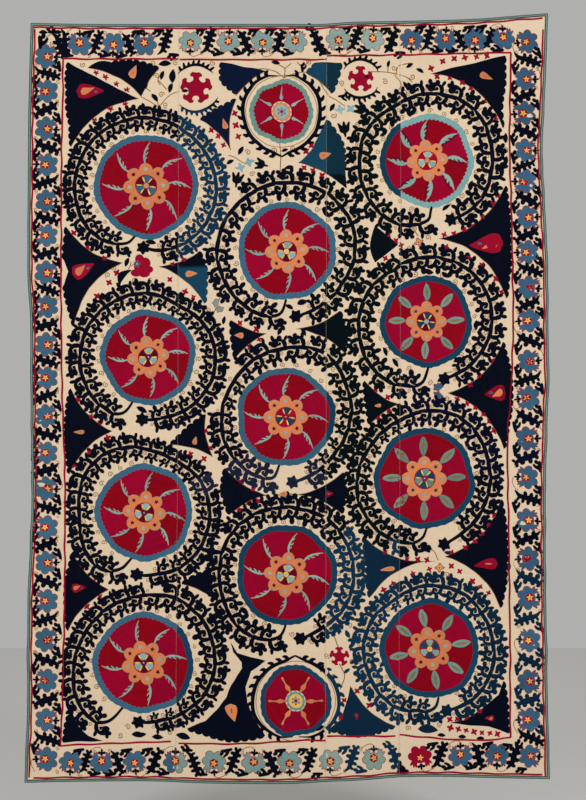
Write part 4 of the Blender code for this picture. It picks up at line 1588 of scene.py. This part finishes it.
# Single lens leaves: column, row, turn, size
LENSES = [
    (165, 64, 4, 1.25), (146, 83.5, 82, 1.0), (162.6, 75.5, 68, 0.9), (154.4, 97.5, -48, 0.95),
    (43.4, 32.8, 0, 0.9), (57.6, 32.2, 2, 0.9), (276, 62.5, -8, 0.85), (332.6, 107.6, 55, 0.85),
    (241.2, 150.4, 60, 0.95), (230, 162.3, 30, 0.8), (284.8, 150.4, 15, 0.7), (289, 167.5, 5, 0.9),
    (388.4, 64, 78, 0.7), (410, 65.5, 30, 0.8), (420, 71, -30, 0.8), (405, 85, -60, 0.8),
    (173, 76, 84, 1.35), (170.5, 88, 70, 1.0), (185, 91, 0, 0.7), (367, 76.5, 20, 0.6),
    (506, 138, 90, 1.0), (506, 161, 85, 1.0), (509, 567, 88, 1.0), (301, 302, 30, 0.9),
    (289, 307, -30, 0.9), (280, 331, 60, 0.9), (303.5, 332, -60, 0.9), (224, 320, 80, 0.8),
    (127, 262, 70, 0.9), (119, 286, -50, 0.8), (329, 632, 60, 0.9), (339, 630, 90, 0.9),
    (348, 634, 120, 0.9), (347, 671, 40, 0.8), (352, 646, 30, 0.8), (322, 668, 70, 0.8),
    (428, 550, 20, 0.8), (448, 553, -20, 0.8), (408, 228, 30, 0.8), (224, 712, 60, 0.9),
    (280, 640, 60, 0.9), (300, 640, -50, 0.9), (318, 642, 30, 0.8), (372, 670, 60, 0.9),
    (383, 664, 40, 0.9), (360, 640, -20, 0.9), (371, 628, 80, 0.8), (386, 630, 60, 0.8),
    (138, 735, -8, 1.3), (157.5, 737, -5, 1.1), (183, 736.5, -12, 1.4), (318.7, 728, 15, 1.2),
    (427.6, 729.6, -3, 1.9), (441, 735, 0, 0.8), (462, 737, 0, 0.8), (480, 738, 0, 0.8),
]
repeat("single_leaf", [LENS_LEAF], [(0, *place(c, r), turn, size) for c, r, turn, size in LENSES])
# Single spirals: column, row
CURLS = [
    (152.4, 63), (156.9, 76.3), (176, 63), (161.4, 94.8), (166, 105), (83, 64.2), (52.3, 45),
    (333.3, 116), (341, 83), (357, 124), (247.8, 152.4), (252.4, 174), (273.4, 150.4), (293.2, 148.4),
    (309, 61.5), (213, 63), (394, 68), (404, 92), (412, 77), (385, 82), (231, 84), (113, 268), (108, 275),
    (135, 281), (150, 281), (226, 299), (208, 310), (447, 398), (430, 383), (428, 238), (409, 249),
    (447, 575), (431, 575), (352, 662), (327, 656), (333, 676), (378, 676), (366, 655), (505, 150),
    (507, 554), (506, 580), (296, 318), (290, 341), (312, 641), (292, 634), (228, 722), (365, 640),
    (349, 625), (120, 735), (128, 727), (170, 733), (408, 728), (440, 724),
]
repeat("single_spiral", SPIRALS, [(k % 3, *place(c, r), 37 * k, 0.95) for k, (c, r) in enumerate(CURLS)])

# Border rows: across and below of each flower, with the notch of the first and every other one
LEFT_ROW = [(-797, b) for b in (108, 222, 346, 465, 585, 698, 821, 932, 1058, 1168, 1293, 1415, 1533, 1661,
                                1777, 1904, 2031, 2166, 2296, 2425)]
RIGHT_ROW = [(789, 59), (784, 182), (779, 295), (785, 417), (782, 520), (791, 638), (789, 754),
             (795, 870), (795, 979), (795, 1113), (792, 1235), (789, 1368), (789, 1496), (789, 1637),
             (792, 1764), (794, 1894), (795, 2033), (795, 2170), (795, 2295), (798, 2416)]
TOP_ROWS = [[(-687, 66), (-576, 66), (-473, 66)], [(-323, 59), (-196, 59), (-84, 59), (25, 59)],
            [(166, 51), (280, 51)], [(408, 51), (520, 51), (618, 50), (710, 48)]]
BOTTOM_ROWS = [[(-716, 2436), (-615, 2436), (-506, 2435), (-372, 2435)],
               [(-244, 2436), (-113, 2437), (5, 2436)],
               [(141, 2430), (284, 2425)], [(436, 2418), (569, 2414), (690, 2413)]]
flower_places, spray_places, foot_places = [], [], []
FULL_SPRAY_ROOM = 118  # between two flowers with a full-sized spray between them


def border_row(spots, upright, notches_first):
    """A row of flowers with a serrated spray between each two, and small leaves in the corners."""
    for k, (x, below) in enumerate(spots):
        ahead = (k + notches_first) % 2 == 0
        turn = (0 if ahead else 180) if upright else (90 if ahead else -90)
        flower_places.append((0, x, -below, turn + SEWER.uniform(-6, 6), SEWER.uniform(0.94, 1.02)))
        side = 1 if ahead else -1
        if upright:
            spiral_places.append((k % 3, x - 34 * side, -below - 44, 0, 0.75))
    for k, ((x1, b1), (x2, b2)) in enumerate(zip(spots, spots[1:])):
        x, z = (x1 + x2) / 2, -(b1 + b2) / 2
        hand = 1 if k % 2 else -1
        apart = hypot(x2 - x1, b2 - b1)
        size = min(1.0, apart / FULL_SPRAY_ROOM)
        quarter = 0 if upright else 90
        kind = (0 if hand > 0 else 1) + 2 * (k % 3 > 0)
        spray_places.append((kind, x, z, quarter + SEWER.uniform(-5, 5), 0.97 * size))
        for corner in (-1, 1):
            foot = 0 if corner * hand > 0 else 1
            if upright:
                foot_places.append((foot, x - corner * hand * 42, z + corner * 27, 12, 1.1))
                spiral_places.append((k % 3, x + corner * hand * 36, z + corner * 27, 0, 0.7))
            else:
                foot_places.append((foot, x - corner * 27, z - corner * hand * 40, 100, 1.1))
                spiral_places.append((k % 3, x + corner * 27, z - corner * hand * 36, 0, 0.7))


# Sprays between the rows, where they meet at a seam or a corner: across, below
SPARE_SPRAYS = [(-752, 66), (-403, 62), (98, 57), (344, 56),
                (-309, 2436), (72, 2434), (355, 2424), (746, 2418)]
spiral_places = []
for k, (x, below) in enumerate(SPARE_SPRAYS):
    spray_places.append((k % 4, x, -below, 90, 0.95))
    for corner in (-1, 1):
        foot_places.append((k % 2, x + corner * 24, -below - corner * 40, 90, 1.0))
border_row(LEFT_ROW, True, 0)
border_row(RIGHT_ROW, True, 1)
for number, row in enumerate(TOP_ROWS):
    border_row(row, False, min(number, 1))
for row in BOTTOM_ROWS:
    border_row(row, False, 1)
repeat("border_flower", [FLOWER], flower_places)
repeat("spray", [SPRAY, mirrored(SPRAY), ROUND_SPRAY, mirrored(ROUND_SPRAY)], spray_places)
repeat("bird_foot", [BIRD_FOOT, mirrored(BIRD_FOOT)], foot_places)
repeat("border_spiral", SPIRALS, spiral_places)

# Crimson lines round the border, broken at the seams: across and below
FRAME_LINES = [
    [(-743, 114), (-743, 260), (-747, 416), (-748, 660), (-749, 911), (-746, 1175), (-740, 1373),
     (-736, 1505), (-737, 1868), (-744, 2231), (-751, 2379)],
    [(736, 96), (731, 383), (737, 614), (740, 779), (743, 1010), (733, 1241), (724, 1373), (728, 1670),
     (732, 2000), (733, 2353)],
    [(-743, 115), (-550, 116), (-363, 115)], [(-356, 117), (-120, 118), (106, 117), (126, 117)],
    [(129, 106), (172, 105), (366, 102)], [(372, 102), (560, 98), (735, 94)],
    [(-751, 2380), (-604, 2374), (-389, 2368)], [(-360, 2374), (-158, 2375), (40, 2364), (122, 2363)],
    [(129, 2350), (240, 2350), (353, 2350)],
    [(370, 2346), (535, 2360), (667, 2362), (716, 2355), (733, 2353)],
]
OUTER_LINE_IN = 14.5
for line in FRAME_LINES:
    sew(patch("crimson", [stroke([(x, -b) for x, b in line], [6.2, 6.2], 10)], LINE_LAYER, edge=1.6))
rows_down = np.linspace(18, 2486, 60)
for edge_line, inward in ((LEFT_LINE, 1), (RIGHT_LINE, -1)):
    spots = [(float(on(edge_line, b)) + inward * OUTER_LINE_IN, -b) for b in rows_down]
    sew(patch("crimson", [stroke(spots, [6, 6], 10)], LINE_LAYER, edge=1.5))
places_over = np.linspace(-838, 838, 50)
for edge_line, downward in ((TOP_LINE, 1), (BOTTOM_LINE, -1)):
    spots = [(x, -float(on(edge_line, x)) - downward * OUTER_LINE_IN) for x in places_over]
    sew(patch("crimson", [stroke(spots, [6, 6], 10)], LINE_LAYER, edge=1.5))


# Finished work: each thread becomes a piece, cut at the seams and laid on the folds
def unevenness(points):
    """The hand's small wavering, the same for all that is worked side by side."""
    x, z = points[:, 0].copy(), points[:, 2].copy()
    points[:, 0] += 0.9 * np.sin(z / 19 + 1.3 * np.sin(x / 41)) + 0.5 * np.sin(x / 9 + z / 13)
    points[:, 2] += 0.9 * np.sin(x / 17 + 1.7 * np.sin(z / 37)) + 0.5 * np.sin(z / 8 - x / 15)


def panel_of(across, up):
    """The loom width that each place is on, counted from the left."""
    return sum((across > on(seam, -up)).astype(int) for seam in SEAMS)


def cut_at_seams(mesh):
    """Takes out a thread's width of the work along each seam, and closes the cut."""
    for seam in SEAMS:
        flat = points_of(mesh)
        offset = flat[:, 0] - on(seam, -flat[:, 2])
        corners = corners_of(mesh)
        starts = np.zeros(len(mesh.polygons), np.int32)
        mesh.polygons.foreach_get("loop_start", starts)
        low = np.minimum.reduceat(offset[corners], starts)
        high = np.maximum.reduceat(offset[corners], starts)
        near = np.nonzero((low < SELVEDGE_BARE) & (high > -SELVEDGE_BARE))[0]
        if not len(near):
            continue
        work = bmesh.new()
        work.from_mesh(mesh)
        for vert in work.verts:
            vert.co.x -= float(on(seam, -vert.co.z))
        work.faces.ensure_lookup_table()
        cut = [work.faces[i] for i in near]
        for side in (-SELVEDGE_BARE, SELVEDGE_BARE):
            parts = set(cut)
            for face in cut:
                parts.update(face.edges)
                parts.update(face.verts)
            made = bmesh.ops.bisect_plane(work, geom=list(parts), dist=1e-4, plane_co=(side, 0, 0),
                                          plane_no=(1, 0, 0))
            cut = [g for g in made["geom"] if isinstance(g, bmesh.types.BMFace)]
        bare = [f for f in cut if abs(f.calc_center_median().x) < SELVEDGE_BARE - 1e-3]
        bmesh.ops.delete(work, geom=bare, context="FACES")
        open_edges = [e for e in work.edges if e.is_boundary
                      and all(abs(abs(v.co.x) - SELVEDGE_BARE) < 2e-3 for v in e.verts)]
        bmesh.ops.holes_fill(work, edges=open_edges, sides=0)
        for vert in work.verts:
            vert.co.x += float(on(seam, -vert.co.z))
        bmesh.ops.triangulate(work, faces=[f for f in work.faces if len(f.verts) > 3])
        work.to_mesh(mesh)
        work.free()


def embroider(name, threads, widths=(0, 1, 2, 3), cut=True):
    """One piece of silk work: all that is sewn in these threads, on these loom widths."""
    numbers = [THREADS.index(t) for t in threads]
    kept = ("points", "rim", "lay", "home", "tone", "thread")
    chosen = []
    for sewn in WORK:
        wanted = np.isin(sewn["thread"], numbers) & np.isin(panel_of(*sewn["home"].T), widths)
        if not wanted.any():
            continue
        tris = sewn["tris"][wanted[sewn["tris"]].all(axis=1)]
        index = np.cumsum(wanted) - 1
        chosen.append({"tris": index[tris], **{key: sewn[key][wanted] for key in kept}})
    whole = {key: np.concatenate([c[key] for c in chosen]) for key in kept}
    firsts = np.cumsum([0] + [len(c["points"]) for c in chosen[:-1]])
    tris = np.vstack([c["tris"] + first for c, first in zip(chosen, firsts)])
    points = np.array(whole["points"], float)
    unevenness(points)
    behind = whole["rim"] < -0.5
    points[:, 1] += TONE_LIFT * whole["tone"]
    points[behind, 1] -= (BACK_DROP + BACK_TONE_DROP * whole["tone"][behind]
                          + BACK_THREAD_DROP * whole["thread"][behind])
    mesh = mesh_of(name, points, tris)
    for fact, kind, part in POINT_FACTS:
        set_fact(mesh, fact, kind, part, whole[fact])
    if cut:
        cut_at_seams(mesh)
    flat = points_of(mesh).astype(float)
    body, outline = dyed(get_fact(mesh, "thread", "INT", "value"), panel_of(flat[:, 0], flat[:, 2]),
                         get_fact(mesh, "home", "FLOAT_VECTOR", "vector"),
                         get_fact(mesh, "tone", "FLOAT", "value"))
    for fact, values in (("dye", body), ("edge dye", outline)):
        dye = mesh.attributes.new(fact, "FLOAT_COLOR", "POINT")
        shades = np.column_stack((values, np.ones(len(values))))
        dye.data.foreach_set("color", shades.astype(np.float32).ravel())
    for fact in ("home", "tone", "thread"):
        mesh.attributes.remove(mesh.attributes[fact])
    mesh.vertices.foreach_set("co", laid_on_folds(flat).astype(np.float32).ravel())
    print(name, len(mesh.polygons))
    return as_piece(name, mesh, SILK, 38)


# Cotton panels and braid
SETTLING = 4  # rounds in which a grid's two outlines settle on each other


def smooth_panel(name, left, right, columns, row_pitch, node):
    """One loom width, closed, from one sewn line to the next."""
    shares = np.linspace(0, 1, round(CLOTH_TALL / row_pitch) + 1)[:, None]
    x = np.zeros((len(shares), len(columns)))
    below = shares * CLOTH_TALL + x
    for _ in range(SETTLING):
        top = on(TOP_LINE, x) + BRAID_WIDE + SEAM_GAP / 2
        bottom = on(BOTTOM_LINE, x) - BRAID_WIDE - SEAM_GAP / 2
        below = top * (1 - shares) + bottom * shares
        x0, x1 = left(below), right(below)
        x = x0 + (x1 - x0) * columns
    return closed_cloth(name, x, below, np.full(x.shape, COTTON_THICK / 2), COTTON, node)


def closed_cloth(name, x, below, thick, finish, node):
    """A closed sheet over a grid of places, standing that far to the front and the back at each."""
    down, over = x.shape
    count = down * over
    number = np.arange(count).reshape(down, over)
    a, b, c, d = number[:-1, :-1], number[1:, :-1], number[1:, 1:], number[:-1, 1:]
    fronts = np.stack((a, b, c, d), axis=-1).reshape(-1, 4)
    backs = fronts[:, ::-1] + count
    ring_of = np.concatenate((number[:, 0], number[-1, 1:], number[::-1, -1][1:], number[0, ::-1][1:-1]))
    after = np.roll(ring_of, -1)
    walls = np.column_stack((ring_of, ring_of + count, after + count, after))
    flat = np.vstack([np.column_stack((x.ravel(), side * thick.ravel(), -below.ravel()))
                      for side in (1, -1)])
    mesh = mesh_of(name, laid_on_folds(flat), np.vstack((fronts, backs, walls)))
    piece = as_piece(name, mesh, finish, 50)
    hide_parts(node)
    return piece


def columns_between(wide, pitch_left, pitch_right):
    """Shares across a loom width, closer at one side than the other, and closest beside the seams."""
    places = [0.0]
    while places[-1] < wide - 12:
        t = places[-1] / wide
        places.append(places[-1] + pitch_left * (1 - t) + pitch_right * t)
    places = [p for p in places if 9 < p < wide - 9]
    close = [0.0, 1.5, 3.0, 4.6, 6.2]
    return np.array(close + places + [wide - c for c in reversed(close)]) / wide


def line_at(line, shift):
    """A sewn line, moved across."""
    return lambda below: on(line, below) + shift


def side_braid(name, line, inward, node):
    """The braid down one side, mitred at both corners."""
    shares = np.linspace(0, 1, SIDE_BRAID_ROWS)[:, None]
    insets = BRAID_INSETS
    clear = insets / insets[-1] * SEAM_GAP
    x = np.full((len(shares), len(insets)), inward * -850.0)
    for _ in range(SETTLING):
        top = on(TOP_LINE, x) + insets + clear
        bottom = on(BOTTOM_LINE, x) - insets - clear
        below = top * (1 - shares) + bottom * shares
        x = on(line, below) + inward * insets
    thick = np.tile(BRAID_CROWN, (len(shares), 1))
    inset = np.tile(insets, (len(shares), 1))
    if inward < 0:
        x, below, thick, inset = (grid[:, ::-1] for grid in (x, below, thick, inset))
    return braid_piece(name, x, below, thick, inset, below, node)


def end_braid(name, line, downward, node):
    """The braid along the top or the bottom, mitred at both corners."""
    insets = BRAID_INSETS[:, None]
    shares = np.linspace(0, 1, END_BRAID_COLUMNS)[None]
    below = np.zeros((len(insets), END_BRAID_COLUMNS)) + (0.0 if downward > 0 else 2500.0)
    for _ in range(SETTLING):
        left = on(LEFT_LINE, below) + insets + SEAM_GAP * 1.5
        right = on(RIGHT_LINE, below) - insets - SEAM_GAP * 1.5
        x = left * (1 - shares) + right * shares
        below = on(line, x) + downward * insets
    thick = np.repeat(BRAID_CROWN[:, None], END_BRAID_COLUMNS, axis=1)
    inset = np.repeat(insets, END_BRAID_COLUMNS, axis=1)
    if downward < 0:
        x, below, thick, inset = (grid[::-1] for grid in (x, below, thick, inset))
    return braid_piece(name, x, below, thick, inset, x, node)


def braid_piece(name, x, below, thick, inset, run, node):
    """A braid that keeps how far in and how far along each of its points is, for its stripes."""
    piece = closed_cloth(name, x, below, thick, BRAID, node)
    lay = np.column_stack((inset.ravel() / BRAID_WIDE, run.ravel()))
    set_fact(piece.data, "lay", "FLOAT_VECTOR", "vector", np.vstack((lay, lay)))
    return piece


# Hand stitches over the seams, and over the line where the braid is sewn on
STITCH = patch("cotton", [stroke([(-2.1, -0.7), (2.1, 0.7)], [0.8, 1.0, 0.8], 2.0)], 1.25,
               edge=0.3, under=-0.3)
SEAM_STITCH_PITCH = 6.5
EDGE_STITCH_PITCH = 7.5
STITCH_LEAN = 14
stitches = []
for seam in SEAMS:
    for below in np.arange(16, 2484, SEAM_STITCH_PITCH):
        lean = SEWER.uniform(-STITCH_LEAN, STITCH_LEAN)
        stitches.append((0, float(on(seam, below)), -below, lean, SEWER.uniform(0.85, 1.1)))
for edge_line, inset in ((LEFT_LINE, BRAID_WIDE), (RIGHT_LINE, -BRAID_WIDE)):
    for below in np.arange(14, 2484, EDGE_STITCH_PITCH):
        lean = SEWER.uniform(-STITCH_LEAN, STITCH_LEAN)
        stitches.append((0, float(on(edge_line, below)) + inset, -below, lean, 1.0))
for edge_line, inset in ((TOP_LINE, BRAID_WIDE), (BOTTOM_LINE, -BRAID_WIDE)):
    for x in np.arange(-842, 842, EDGE_STITCH_PITCH):
        lean = 90 + SEWER.uniform(-STITCH_LEAN, STITCH_LEAN)
        stitches.append((0, x, -float(on(edge_line, x)) - inset, lean, 1.0))
repeat("stitch", [STITCH], stitches)

SILK_PIECES = [
    embroider("vine_leaves_left", ["leaf"], (0, 1)),
    embroider("vine_leaves_right", ["leaf"], (2, 3)),
    embroider("dark_fields", ["field"]),
    embroider("crimson_work", ["crimson", "wine", "medallion"]),
    embroider("red_work", ["red"]),
    embroider("plum_work", ["plum"]),
    embroider("orange_work", ["orange"]),
    embroider("yellow_work", ["yellow"]),
    embroider("steel_blue_work", ["steel", "petal"]),
    embroider("ring_blue_work", ["deep blue"]),
    embroider("grey_teal_work", ["pale blue", "feather", "spindle"]),
    embroider("gold_brown_lines", ["brown", "curl"]),
    embroider("seam_and_edge_stitches", ["cotton"], cut=False),
]

HALF_GAP = SEAM_GAP / 2
SEWN_LEFT = line_at(LEFT_LINE, BRAID_WIDE + HALF_GAP)
SEWN_RIGHT = line_at(RIGHT_LINE, -BRAID_WIDE - HALF_GAP)
cotton_left = smooth_panel("cotton_left", SEWN_LEFT, line_at(SEAM_1, -HALF_GAP),
                           columns_between(480, 10, 22), 8, "panel_left")
cotton_middle = smooth_panel("cotton_middle", line_at(SEAM_1, HALF_GAP), line_at(SEAM_2, -HALF_GAP),
                             columns_between(488, 20, 20), 14, "panel_middle")
cotton_half = smooth_panel("cotton_half", line_at(SEAM_2, HALF_GAP), line_at(SEAM_3, -HALF_GAP),
                           columns_between(243, 20, 20), 14, "panel_half")
cotton_right = smooth_panel("cotton_right", line_at(SEAM_3, HALF_GAP), SEWN_RIGHT,
                            columns_between(480, 22, 10), 8, "panel_right")
braids = [side_braid("edging_left", LEFT_LINE, 1, "braid_left"),
          side_braid("edging_right", RIGHT_LINE, -1, "braid_right"),
          end_braid("edging_top", TOP_LINE, 1, "braid_top"),
          end_braid("edging_bottom", BOTTOM_LINE, -1, "braid_bottom")]

# Floor, light and camera
FLOOR = -2.68
MIDDLE_OF_CLOTH = Vector((0, 0, -1.25))
CAMERA_SPOT = (0.0165, -6.6, -1.2408)
# name, where, watts
LAMPS = [("left lamp", (-3.6, -4.2, 0.2), 135), ("right lamp", (3.8, -4.2, 0.6), 160)]


def studio():
    """A pale floor and room, two wide lamps, and a camera straight in front of the cloth."""
    corners = [(-6, -7, FLOOR), (6, -7, FLOOR), (6, 5, FLOOR), (-6, 5, FLOOR)]
    floor = in_scene("floor", mesh_of("floor", corners, [(0, 1, 2, 3)]))
    material, _, shader = new_finish("pale floor", 0.9, 0.0)
    shader.inputs["Base Color"].default_value = (0.78, 0.77, 0.75, 1.0)
    floor.data.materials.append(material)
    world = bpy.data.worlds.new("pale room")
    bpy.context.scene.world = world
    world.use_nodes = True
    sky = world.node_tree.nodes["Background"]
    sky.inputs["Color"].default_value = (0.86, 0.86, 0.85, 1.0)
    sky.inputs["Strength"].default_value = 0.5
    for name, spot, power in LAMPS:
        lamp = bpy.data.lights.new(name, "AREA")
        lamp.shape = "RECTANGLE"
        lamp.size = 1.6
        lamp.size_y = 3.0
        lamp.energy = power
        holder = in_scene(name, lamp)
        holder.location = spot
        holder.rotation_euler = (MIDDLE_OF_CLOTH - Vector(spot)).to_track_quat("-Z", "Y").to_euler()
    lens_and_film = bpy.data.cameras.new("camera")
    lens_and_film.lens = 60
    lens_and_film.sensor_fit = "VERTICAL"
    lens_and_film.sensor_height = 24
    camera = in_scene("camera", lens_and_film)
    camera.location = CAMERA_SPOT
    camera.rotation_euler = (pi / 2, 0, 0)
    bpy.context.scene.camera = camera
    bpy.context.scene.render.resolution_x = 586
    bpy.context.scene.render.resolution_y = 800
    bpy.context.scene.view_settings.view_transform = "Standard"


studio()
